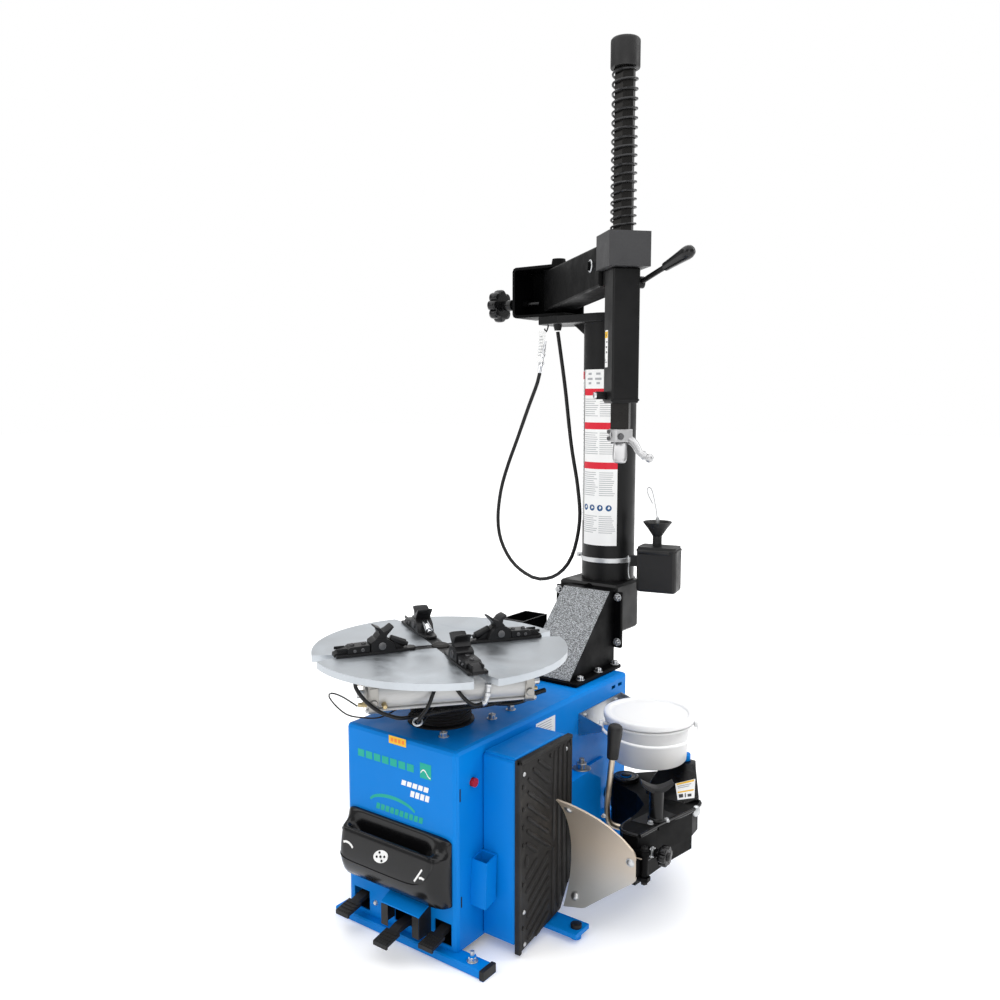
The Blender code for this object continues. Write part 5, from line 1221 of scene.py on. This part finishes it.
keep("bar_sleeve", BLACK, 0.0016)
bm = new()
box(bm, (-0.02, -0.0337, 1.281), (-0.001, -0.0331, 1.367), HEX)
piece("sleeve_sticker", bm, WHITE, "arm", slot="bar_sleeve")
bm = new()
box(bm, (-0.0192, -0.034, 1.349), (-0.0018, -0.0336, 1.364), HEX)
piece("sleeve_sticker_top", bm, YELLOW, "arm", slot="bar_sleeve")
bm = new()
for z0, z1, u0, u1 in ((1.338, 1.342, -0.011, -0.004), (1.326, 1.33, -0.014, -0.006),
    (1.314, 1.318, -0.012, -0.005), (1.292, 1.2935, -0.018, -0.004), (1.296, 1.3, -0.018, -0.0165)):
    box(bm, (u0, -0.034, z0), (u1, -0.0336, z1), HEX)
prism(bm, [(-0.013, 1.353), (-0.008, 1.353), (-0.0105, 1.36)], -0.0343, -0.0339, "Y", HEX)
piece("sleeve_sticker_marks", bm, GREY, "arm", slot="bar_sleeve")
bm = new()
drum(bm, (-0.014, -0.033, 1.215), (-0.014, -0.0575, 1.215), 0.0092, edge=0.0012, n=28, m=HEX)
piece("clamp_screw_body", bm, BLACK, "arm", slot="bar_sleeve")
bm = new()
socket_screw(bm, (-0.014, -0.057, 1.215), (0, -1, 0), 0.0078, 0.0052, HEX)
for u in (-0.026, 0.026):
    socket_screw(bm, (u, 0.0, 1.2005), (0, 0, -1), 0.004, 0.003, HEX)
piece("clamp_screw_head", bm, CHROME, "arm", slot="bar_sleeve")
bm = new()
for side in (-1, 1):
    tube(bm, [(-0.031 + 0.062 * i / 20, side * 0.033, 1.204 + 0.0012 * (i % 2)) for i in range(21)], 0.0022,
        8, HEX)
    tube(bm, [(side * 0.033, -0.031 + 0.062 * i / 20, 1.204 + 0.0012 * (i % 2)) for i in range(21)], 0.0022,
        8, HEX)
piece("weld_bead", bm, BLACK, "arm", slot="bar_sleeve")
bm = new()
ring(bm, (-0.117, -0.043, 1.529), (0, 1, 0), 0.0135, 0.0022, 36, 8, HEX)
drum(bm, (-0.117, -0.042, 1.529), (-0.117, -0.0445, 1.529), 0.011, m=HEX)
piece("arm_side_ring", bm, ZINC, "arm", slot="swing_arm")

# locking lever
bm = new()
drum(bm, (0.0, 0.0333, 1.478), (0.0, 0.0525, 1.478), 0.014, edge=0.002, n=32, m=HEX)
tube(bm, smooth(((0.0, 0.045, 1.478), (0.048, 0.045, 1.483), (0.128, 0.055, 1.497), (0.15, 0.0618, 1.5033)),
    0.006), 0.0062, 14, HEX)
piece("lever_rod", bm, BLACK, "lock_lever", ["bar_lock_lever"])
bm = new()
a, b = HEX @ Vector((0.128, 0.055, 1.497)), HEX @ Vector((0.203, 0.078, 1.519))
way = (b - a).normalized()
grip = [(0.007, 0.0), (0.01, 0.0012), (0.0104, 0.006), (0.0112, 0.022), (0.0128, 0.045), (0.0142, 0.064),
    (0.015, 0.074), (0.0146, 0.082), (0.0118, 0.09), (0.007, 0.0945), (0.0, 0.096)]
spin(bm, grip, a, way, 28)
piece("lever_grip", bm, COVER_MAT, "lock_lever", slot="bar_lock_lever")

# star knobs
bm = new()
knob(bm, (-0.368, 0.872, 1.488), (-1, 0, 0), 0.049, 0.029, 8)
drum(bm, (-0.356, 0.872, 1.488), (-0.318, 0.872, 1.488), 0.015, 0.0165, edge=0.002, n=32)
drum(bm, (-0.33, 0.872, 1.488), (-0.22, 0.872, 1.488), 0.006, n=20)
piece("arm_hand_wheel", bm, COVER_MAT, "arm_knob", ["arm_star_knob"], sharp=50)
bm = new()
knob(bm, (0.478, 0.346, 0.195), (1, 0, 0), 0.0235, 0.018, 6)
drum(bm, (0.454, 0.346, 0.195), (0.47, 0.346, 0.195), 0.01, n=24)
piece("breaker_hand_wheel", bm, COVER_MAT, "blade_knob", ["breaker_star_knob"], sharp=50)
bm = new()
drum(bm, (0.418, 0.346, 0.195), (0.456, 0.346, 0.195), 0.005, n=16)
spin(bm, [(0.012, 0), (0.0125, 0.0006), (0.012, 0.0024)], (0.445, 0.346, 0.195), (1, 0, 0), 24)
spin(bm, [(0.0108, 0), (0.0112, 0.0006), (0.0108, 0.002)], (0.45, 0.346, 0.195), (1, 0, 0), 24)
piece("wheel_washers", bm, ZINC, "blade_knob", slot="breaker_star_knob")

# ---- mounting head -------------------------------------------------------------------------------------
HEAD_Z = 1.136 - GAP
bm = new()
prism(bm, rounded(-0.024, -0.023, 0.026, 0.023, 0.006), HEAD_Z - 0.03, HEAD_Z, m=HEX)
hole = new()
drum(hole, (0.002, -0.06, 1.122), (0.002, 0.06, 1.122), 0.0062, n=24, m=HEX)
slit = new()
box(slit, (-0.03, -0.0015, HEAD_Z - 0.04), (-0.008, 0.0015, HEAD_Z + 0.01), HEX)
piece("head_clamp", bm, ALLOY, "tool_bar", ["mount_head"], bevel=0.0016, segs=3, cuts=[hole, slit])
bm = new()
BILL = HEX @ Matrix.Rotation(math.radians(-20.0), 4, "Z")
rings = []
for u, w, wide, thick in (
    (0.004, 1.105, 0.015, 0.01),
    (0.014, 1.098, 0.016, 0.0115),
    (0.022, 1.087, 0.0165, 0.011),
    (0.029, 1.075, 0.017, 0.009),
    (0.035, 1.066, 0.0165, 0.007),
    (0.0395, 1.0605, 0.014, 0.005),
    (0.042, 1.0585, 0.009, 0.0028),
):
    row = []
    for i in range(16):
        t = math.tau * i / 16
        v = wide * math.copysign(abs(math.cos(t)) ** 0.6, math.cos(t))
        d = thick * math.copysign(abs(math.sin(t)) ** 0.7, math.sin(t))
        row.append((u - d * 0.78, v, w - d * 0.62))
    rings.append(row)
loft(bm, rings, m=BILL)
piece("duck_bill", bm, ALLOY, "tool_bar", slot="mount_head", sharp=60)
bm = new()
finger = [(0.005, 0.01, 1.116), (0.028, 0.024, 1.104), (0.042, 0.034, 1.082), (0.06, 0.046, 1.071)]
tube(bm, smooth(finger, 0.004), lambda t: 0.0112 - 0.004 * t, 16, HEX)
drum(bm, (0.048, 0.038, 1.082), (0.044, 0.046, 1.07), 0.0088, edge=0.002, n=24, m=HEX)
spin(bm, [(0.0, -0.0105)] + [(0.0105 * math.cos(t), 0.0105 * math.sin(t))
    for t in [math.radians(-75 + 15 * i) for i in range(11)]] + [(0.0, 0.0105)], (0.062, 0.05, 1.07), n=24,
    m=HEX)
piece("head_finger", bm, ALLOY, "tool_bar", slot="mount_head")
bm = new()
for u, v in ((-0.014, 0.013), (-0.014, -0.013), (0.014, 0.013)):
    socket_screw(bm, (u, v, HEAD_Z - 0.0302), (0, 0, -1), 0.0052, 0.0045, HEX)
for v, w in ((-0.023, 1.129), (-0.023, 1.113)):
    socket_screw(bm, (-0.015, v, w), (0, -1, 0), 0.0048, 0.0042, HEX)
bolt(bm, (0.0262, -0.008, 1.119), (1, 0, 0), 0.0062, 0.006, True, HEX)
piece("head_screws", bm, IRON, "tool_bar", slot="mount_head")

# light packing plates between the pivot housing and the column's top plate
bm = new()
box(bm, (-0.098, 0.848, 1.4432), (0.004, 0.912, 1.4462))
box(bm, (-0.086, 0.856, 1.4463), (-0.01, 0.904, 1.4492))
piece("packing_plates", bm, ZINC, "frame", slot="column_top_plate", bevel=0.0004)

# paper tag tied at the top of the hose
bm = new()
rings = []
for i in range(9):
    t = i / 8
    y = 0.838 + 0.0035 * math.sin(3.0 * t)
    cx, z = -0.189 - 0.01 * t, 1.404 - 0.09 * t
    rings.append([(cx - 0.011, y, z), (cx + 0.011, y + 0.002, z), (cx + 0.011, y + 0.0025, z),
        (cx - 0.011, y + 0.0005, z)])
loft(bm, rings)
piece("paper_tag", bm, WHITE, "frame", slot="hose_connector")
bm = new()
for k in range(7):
    t = 0.18 + 0.1 * k
    y = 0.838 + 0.0035 * math.sin(3.0 * t) - 0.0006
    cx, z = -0.189 - 0.01 * t, 1.404 - 0.09 * t
    box(bm, (cx - 0.008, y, z - 0.0008), (cx + 0.002 + 0.005 * draw.random(), y + 0.0008, z + 0.0008))
piece("paper_tag_lines", bm, GREYPRINT, "frame", slot="hose_connector")

# ---- lid and funnel of the accessory box ------------------------------------------------------
BOX = Matrix.Translation((0.185, 0.86, 0.735)) @ Matrix.Rotation(math.radians(12), 4, "Z")
bm = new()
skirt = rounded(-0.051, -0.037, 0.063, 0.037, 0.01)
crown = rounded(-0.048, -0.034, 0.06, 0.034, 0.009)
levels = ((skirt, 0.052), (skirt, 0.0576), (crown, 0.0584), (crown, 0.065))
loft(bm, [[(x, y, z) for x, y in edge] for edge, z in levels], m=BOX)
seam_bore = new()
drum(seam_bore, (0, 0, 0.04), (0, 0, 0.09), 0.0085, n=24, m=BOX)
piece("box_lid_lip", bm, PLASTIC, "frame", slot="accessory_box", bevel=0.0014, cuts=[seam_bore])
bm = new()
funnel = [(0.0125, 0.062), (0.0125, 0.094), (0.014, 0.098), (0.0385, 0.13), (0.0396, 0.1322),
    (0.0386, 0.1336), (0.037, 0.1325), (0.0125, 0.1), (0.0105, 0.095), (0.0105, 0.062), (0.0125, 0.062)]
spin(bm, funnel, (0, 0, 0), n=48, m=BOX)
bmesh.ops.remove_doubles(bm, verts=bm.verts, dist=1e-6)
piece("box_funnel", bm, PLASTIC, "frame", slot="accessory_box")
bm = new()
drum(bm, (-0.046, -0.032, 0.052), (0.044, -0.032, 0.052), 0.0078, edge=0.003, n=28, m=BOX)
piece("box_lid_roll", bm, PLASTIC, "frame", slot="accessory_box")

# ---- paste bucket ----------------------------------------------------------------------------------------
B = (0.304, 0.597, 0.0)
BR, BL, BT = 0.101, 0.305, 0.414
bm = new()
wall = 0.0018
body = [(0.0, BL + 0.003), (0.08, BL + 0.003), (0.084, BL), (BR - 0.0095, BL), (BR - 0.0062, BL + 0.0035)]
body += [(BR - 0.001, BT - 0.03), (BR - 0.0002, BT - 0.0185), (BR + 0.007, BT - 0.0165),
    (BR + 0.009, BT - 0.015), (BR + 0.0092, BT - 0.0118), (BR + 0.0076, BT - 0.0104)]
body += [(BR + 0.0012, BT - 0.01), (BR + 0.0018, BT - 0.0008), (BR + 0.0008, BT), (BR - wall, BT),
    (BR - wall - 0.0005, BT - 0.02)]
body += [(BR - 0.0062 - wall, BL + 0.005), (BR - 0.0095 - wall, BL + 0.0042), (0.0, BL + 0.0046)]
spin(bm, body, B, n=112)
ears = Matrix.Translation((B[0], B[1], BT - 0.023)) @ Matrix.Rotation(math.radians(36.0), 4, "Z")
for s in (-1, 1):
    drum(bm, (s * 0.0985, 0, 0), (s * 0.1128, 0, 0), 0.0042, edge=0.0008, n=20, m=ears)
    drum(bm, (s * 0.0985, 0, 0), (s * 0.102, 0, 0), 0.0095, edge=0.001, n=28, m=ears)
piece("bucket_shell", bm, BUCKET, "bucket", ["paste_bucket"], sharp=50)
bm = new()
lid = [(0.0, BT + 0.0022), (BR - 0.014, BT + 0.0022), (BR - 0.008, BT + 0.001), (BR + 0.0024, BT + 0.001),
    (BR + 0.003, BT - 0.0078), (BR + 0.0062, BT - 0.0084)]
lid += [(BR + 0.011, BT - 0.006), (BR + 0.0126, BT - 0.003), (BR + 0.0126, BT + 0.005),
    (BR + 0.0116, BT + 0.0086), (BR + 0.0085, BT + 0.0106), (BR + 0.005, BT + 0.011)]
lid += [(BR - 0.001, BT + 0.0108), (BR - 0.003, BT + 0.0092), (BR - 0.0045, BT + 0.0064),
    (BR - 0.012, BT + 0.0058), (BR - 0.015, BT + 0.007), (BR - 0.019, BT + 0.0064), (0.0, BT + 0.0066)]
spin(bm, lid, B, n=112)
piece("bucket_cover", bm, LID, "lid", ["bucket_lid"], sharp=50)
bm = new()
arc_points = [(0.123 * math.cos(t), -0.129 * math.sin(t), -0.015 * math.sin(t))
    for t in [math.radians(3 * i) for i in range(61)]]
tube(bm, arc_points, 0.0038, 14, ears)
for s in (-1, 1):
    spin(bm, [(0.0058, -0.005), (0.0088, -0.005), (0.0092, -0.0042), (0.0092, 0.0042), (0.0088, 0.005),
        (0.0058, 0.005), (0.0058, -0.005)], (s * 0.12, 0, 0), (1, 0, 0), 28, ears)
piece("bucket_handle", bm, LID, "bail", ["bucket_bail"])

# ---- bead breaker ----------------------------------------------------------------------------------------
BX, BY, HIGH = 0.264, 0.555, 0.25
bm = new()
spin(bm, [(0.0142, HIGH + 0.0045), (0.0142, HIGH + 0.0085), (0.03, HIGH + 0.009), (0.032, HIGH + 0.0075),
    (0.0325, HIGH + 0.004), (0.029, HIGH + 0.0035)], (BX, BY, 0), n=48)
spin(bm, [(0.0235, HIGH + 0.0085), (0.025, HIGH + 0.0098), (0.0262, HIGH + 0.0085)], (BX, BY, 0), n=48)
piece("pivot_boss_ring", bm, GLOSS, "breaker", slot="breaker_arm")
bm = new()
spin(bm, [(0.0, HIGH + 0.0125), (0.01, HIGH + 0.0125), (0.0128, HIGH + 0.0112), (0.0132, HIGH + 0.009),
    (0.0132, HIGH + 0.005)][::-1], (BX, BY, 0), n=32)
piece("pivot_pin_cap", bm, BLACK, "frame", slot="breaker_bracket")


def on_hood(name, mat, corners, lift):
    """A thin sheet through three or four corners in space."""
    pts = [Vector(p) for p in corners]
    out = (pts[1] - pts[0]).cross(pts[-1] - pts[0]).normalized()
    if out.z < 0:
        out = -out
    bm = new()
    loft(bm, [[p + out * 0.0002 for p in pts], [p + out * lift for p in pts]])
    piece(name, bm, mat, "breaker", slot="breaker_hood")


# a sloping cover with rounded corners over the arm's rear
bm = new()
hood = [(0.505, HIGH + GAP), (0.672, HIGH + GAP), (0.672, 0.2935), (0.64, 0.296), (0.52, HIGH + 0.005)]
prism(bm, hood, 0.335, 0.475, "X")
keep_cut = []
for outline in (
    ((0.2, 0.4), (0.345, 0.4), (0.345, 0.5), (0.335, 0.56), (0.335, 0.7), (0.2, 0.7)),
    ((0.444, 0.4), (0.444, 0.5), (0.47, 0.54), (0.42, 0.63), (0.4, 0.672), (0.4, 0.75), (0.6, 0.75),
    (0.6, 0.4)),
):
    cut = new()
    prism(cut, outline, 0.2, 0.35)
    keep_cut.append(cut)
piece("breaker_cover", bm, GLOSS, "breaker", ["breaker_hood"], bevel=0.0045, segs=3, cuts=keep_cut)


def hood_z(y):
    """The height of the hood's slope."""
    return HIGH + 0.005 + (0.296 - HIGH - 0.005) * (y - 0.52) / 0.12


label = [(0.398, 0.56), (0.436, 0.592), (0.462, 0.532), (0.428, 0.512)]
on_hood("hood_label", WHITE, [(x, y, hood_z(y)) for x, y in label], 0.0008)


def label_point(s, t):
    """A point on the hood's label, by shares of its sides."""
    (ax, ay), (bx, by), (cx, cy), (dx, dy) = label
    x = (1 - s) * ((1 - t) * ax + t * dx) + s * ((1 - t) * bx + t * cx)
    y = (1 - s) * ((1 - t) * ay + t * dy) + s * ((1 - t) * by + t * cy)
    return (x, y, hood_z(y) + 0.0006)


for name, mat, s0, s1, t0, t1 in (
    ("hood_label_band_a", YELLOW, 0.06, 0.94, 0.03, 0.12),
    ("hood_label_band_b", YELLOW, 0.06, 0.94, 0.54, 0.61),
    ("hood_label_mark_a", GREY, 0.1, 0.34, 0.7, 0.9),
    ("hood_label_mark_b", GREY, 0.44, 0.5, 0.7, 0.92),
    ("hood_label_mark_c", GREY, 0.6, 0.82, 0.76, 0.9),
    ("hood_label_lines", GREYPRINT, 0.1, 0.8, 0.2, 0.24),
    ("hood_label_lines_b", GREYPRINT, 0.1, 0.7, 0.3, 0.34),
):
    on_hood(name, mat, [label_point(s0, t0), label_point(s1, t0), label_point(s1, t1), label_point(s0, t1)],
        0.0007)

# curved bead-breaking blade
bm = new()
cy, cz, R = 0.067, 0.17, 0.2117
lowest, highest = math.asin((0.04 - cz) / R), math.asin((0.34 - cz) / R)
angles = [lowest + (highest - lowest) * i / 56 for i in range(57)]
profile = [(cy + R * math.cos(a), cz + R * math.sin(a)) for a in angles]
profile += [(cy + (R - 0.005) * math.cos(a), cz + (R - 0.005) * math.sin(a)) for a in reversed(angles)]
prism(bm, profile, 0.27, 0.46, "X")
blade_outline = (
    (0.279, 0.322), (0.31, 0.317), (0.34, 0.306), (0.368, 0.292), (0.393, 0.274), (0.42, 0.25), (0.44, 0.227),
    (0.4435, 0.22), (0.445, 0.212),
    (0.445, 0.162), (0.4435, 0.155), (0.439, 0.15), (0.334, 0.07), (0.326, 0.0665), (0.282, 0.0585),
    (0.279, 0.061),
)
above = [(0.2, 0.45), (0.2, 0.322), *blade_outline[:9], (0.52, 0.212), (0.52, 0.45)]
below = [(0.52, 0.2119), *blade_outline[8:15], (0.279, 0.0585), (0.2, 0.0585), (0.2, -0.1), (0.52, -0.1)]
inside = ((0.2, 0.0), (0.279, 0.0), (0.279, 0.45), (0.2, 0.45))
cuts = []
for outline in (above, below, inside):
    cut = new()
    prism(cut, outline, 0.1, 0.4, "Y")
    cuts.append(cut)
piece("blade_sheet", bm, SHEET, "blade", ["breaker_blade"], bevel=0.001, segs=2, cuts=cuts, sharp=30)
bm = new()
for x, y, z in ((0.296, 0.2335, 0.296), (0.432, 0.276, 0.196), (0.302, 0.254, 0.084)):
    out = Vector((0, y - cy, z - cz)).normalized()
    base = Vector((x, cy, cz)) + out * (R - 0.0052)
    spin(bm, [(0.0085, -0.0005), (0.0085, 0.0004), (0.0078, 0.0018), (0.0052, 0.0034), (0.0, 0.0042)], base,
        -out, 28)
    spin(bm, [(0.0105, -0.0002), (0.0105, 0.0008), (0.0095, 0.001)], base, -out, 28)
    bolt(bm, Vector((x, cy, cz)) + out * (R + 0.0001), out, 0.0075, 0.0065)
piece("blade_bolts", bm, ZINC, "blade", slot="breaker_blade")
# the blade's knuckle takes the darker black, with painted shade
bm = new()
box(bm, (0.418, 0.274, 0.165), (0.446, 0.299, 0.204))
drum(bm, (0.452, 0.3, 0.16), (0.452, 0.3, 0.209), 0.0085, edge=0.001, n=28)
box(bm, (0.44, 0.294, 0.165), (0.455, 0.304, 0.204))
piece("blade_knuckle", bm, SHADED_BLACK, "blade", slot="breaker_blade", bevel=0.001)
bm = new()
drum(bm, (0.452, 0.3, 0.144), (0.452, 0.3, 0.2225), 0.0048, n=20)
bolt(bm, (0.452, 0.3, 0.2195), Z, 0.0078, 0.007)
bolt(bm, (0.452, 0.3, 0.1495), (0, 0, -1), 0.0078, 0.007)
piece("blade_hinge_pin", bm, BLACK, "blade", slot="breaker_blade")

# handle: bent rod with a rubber grip
bm = new()
rod_knots = ((0.38, 0.405, 0.205), (0.35, 0.392, 0.206), (0.326, 0.366, 0.222), (0.324, 0.356, 0.262),
    (0.332, 0.352, 0.33), (0.341, 0.35, 0.4))
tube(bm, smooth(rod_knots, 0.005), 0.0072, 18)
piece("handle_rod", bm, TAN, "breaker", ["breaker_handle"])
bm = new()
a, b = Vector((0.3405, 0.35, 0.392)), Vector((0.3458, 0.35, 0.452))
grip = [(0.0086, 0.0), (0.0128, 0.0014), (0.0136, 0.006), (0.014, 0.02), (0.0152, 0.04), (0.0168, 0.056),
    (0.0176, 0.066), (0.0172, 0.0735), (0.015, 0.079), (0.0105, 0.0822), (0.0, 0.0834)]
spin(bm, grip, a - (b - a).normalized() * 0.006, b - a, 36)
piece("handle_grip", bm, PLASTIC, "breaker", slot="breaker_handle")

# T pin with its curved saddle
T_XY = (0.4345, 0.388)
bm = new()
spin(
    bm,
    [(0.0, 0.195), (0.011, 0.195), (0.0124, 0.1965), (0.0124, HIGH + GAP), (0.019, HIGH + GAP),
    (0.0192, 0.258), (0.0178, 0.26), (0.0164, 0.2606), (0.0164, 0.314), (0.0158, 0.324), (0.0, 0.3245)],
    (*T_XY, 0),
    n=40,
)
piece("t_pin_post", bm, GLOSS, "t_pin", ["breaker_t_pin"])
bm = new()
PIN = Matrix.Translation((*T_XY, 0)) @ Matrix.Rotation(math.radians(36.0), 4, "Z")
rings = []
for i in range(17):
    u = -0.036 + 0.072 * i / 16
    top = 0.33 + 0.0152 * (abs(u) / 0.036) ** 1.7
    under = top - 0.0085 - 0.0055 * math.cos(math.pi * u / 0.072)
    half = 0.014 * (1 - 0.18 * (abs(u) / 0.036) ** 3)
    rings.append([(u, -half, under + 0.002), (u, -half * 0.7, under), (u, half * 0.7, under),
        (u, half, under + 0.002), (u, half, top - 0.0015), (u, half * 0.82, top), (u, -half * 0.82, top),
        (u, -half, top - 0.0015)])
loft(bm, rings, m=PIN)
piece("t_pin_saddle", bm, CAST, "t_pin", slot="breaker_t_pin", bevel=0.0008)
bm = new()
for turn in (-60, 60):
    t = math.radians(turn - 35)
    bolt(bm, (T_XY[0] + 0.0235 * math.cos(t), T_XY[1] + 0.0235 * math.sin(t), HIGH + 0.0004), Z, 0.0058,
        0.0052)
piece("t_pin_bolts", bm, ZINC, "breaker", slot="breaker_arm")
bm = new()
prism(bm, ((0.39, 0.35), (0.444, 0.356), (0.46, 0.44), (0.408, 0.448)), HIGH + 0.0002, HIGH + 0.0012)
bore = new()
spin(bore, [(0.0198, 0.24), (0.0198, 0.26)], (*T_XY, 0), n=36)
piece("t_pin_plate", bm, BLACK, "breaker", slot="breaker_arm", bevel=0.0004, cuts=[bore])
bm = new()
spin(bm, [(0.013, 0.0), (0.0132, 0.003), (0.0112, 0.006), (0.006, 0.0082), (0.0, 0.0088)],
    (0.477, 0.506, 0.241), (1, -0.2, 0.1), 32)
bolt(bm, (0.45, 0.41, 0.148), (1, -0.2, 0), 0.006, 0.0045)
bolt(bm, (0.345, 0.305, 0.265), (0, 0, 1), 0.005, 0.004)
piece("arm_bolts", bm, ZINC, "breaker", slot="breaker_arm")

bm = new()
edge = [(0.44, 0.299), (0.45, 0.363), (0.464, 0.43), (0.477, 0.497), (0.4745, 0.537), (0.464, 0.546)]
tube(bm, smooth([(x, y, HIGH - 0.002) for x, y in edge], 0.006), 0.0046, 12)
lip = [(0.383, 0.364), (0.3835, 0.319), (0.4, 0.2985), (0.437, 0.2985)]
tube(bm, smooth([(x, y, HIGH - 0.002) for x, y in lip], 0.006), 0.004, 12)
low_lip = [(0.402, 0.299), (0.431, 0.3), (0.44, 0.363), (0.444, 0.44), (0.459, 0.533)]
tube(bm, smooth([(x, y, 0.177) for x, y in low_lip], 0.006), 0.0036, 12)
piece("arm_edge_beads", bm, COVER_MAT, "breaker", slot="breaker_arm")

# small blue dome seen behind the bucket
bm = new()
drum(bm, (0.3756, 0.656, HIGH + 0.044), (0.3756, 0.656, 0.312), 0.016, edge=0.003, n=28)
piece("blue_cap", bm, BLUE, "breaker", slot="breaker_hood")

# ---- studio --------------------------------------------------------------------------------------
FLOOR = 30.0  # half the floor's side, far past the view
SKY_LIGHT = 0.44  # what the white surroundings give; the camera sees them at full white
floor_mesh = bpy.data.meshes.new("floor")
corners = [(x, y, -0.0005) for x, y in ((-FLOOR, -FLOOR), (FLOOR, -FLOOR), (FLOOR, FLOOR), (-FLOOR, FLOOR))]
floor_mesh.from_pydata(corners, [], [(0, 1, 2, 3)])
floor = bpy.data.objects.new("floor", floor_mesh)
bpy.context.scene.collection.objects.link(floor)
g = Graph("studio_floor")
away = g.node("ShaderNodeVectorMath", operation="LENGTH")
g.link(g.place, away.inputs[0])
glow = g.ramp(away.outputs["Value"], 0.16, 0.75, 1.2, 5.0)
g.set(Base_Color=g.mix(g.noise(0.8), (0.93, 0.93, 0.935), (0.95, 0.95, 0.95)), Roughness=0.85,
    Emission_Color=(1.0, 1.0, 1.0), Emission_Strength=glow)
floor_mesh.materials.append(g.material)

world = bpy.data.worlds.new("studio")
bpy.context.scene.world = world
world.use_nodes = True
sky = world.node_tree
background = sky.nodes["Background"]
background.inputs["Color"].default_value = (1.0, 1.0, 1.0, 1.0)
seen = sky.nodes.new("ShaderNodeLightPath")
strength = sky.nodes.new("ShaderNodeMapRange")
strength.inputs["To Min"].default_value = SKY_LIGHT
strength.inputs["To Max"].default_value = 1.0
sky.links.new(seen.outputs["Is Camera Ray"], strength.inputs["Value"])
sky.links.new(strength.outputs["Result"], background.inputs["Strength"])
bpy.context.scene.view_settings.view_transform = "Standard"


def softbox(name, at, target, size, power):
    """A large rectangular light that faces a point."""
    light = bpy.data.lights.new(name, "AREA")
    light.shape = "RECTANGLE"
    light.size, light.size_y = size
    light.energy = power
    obj = bpy.data.objects.new(name, light)
    bpy.context.scene.collection.objects.link(obj)
    obj.location = Vector(at) + ORIGIN
    obj.rotation_euler = (Vector(target) - Vector(at)).to_track_quat("-Z", "Y").to_euler()


softbox("key_left", (-2.2, -2.8, 2.9), (0.0, 0.4, 0.8), (2.4, 2.4), 26.0)
softbox("front_fill", (2.2, -2.6, 1.8), (0.1, 0.4, 0.7), (2.4, 2.4), 24.0)
softbox("top", (0.2, 0.5, 4.4), (0.1, 0.5, 0.6), (8.0, 8.0), 325.0)
softbox("rear_rim", (2.6, 2.6, 2.4), (0.0, 0.6, 0.9), (1.2, 2.4), 30.0)
softbox("back_sheen", (-2.4, 3.8, 2.2), (0.0, 0.2, 0.7), (3.4, 2.6), 14.0)
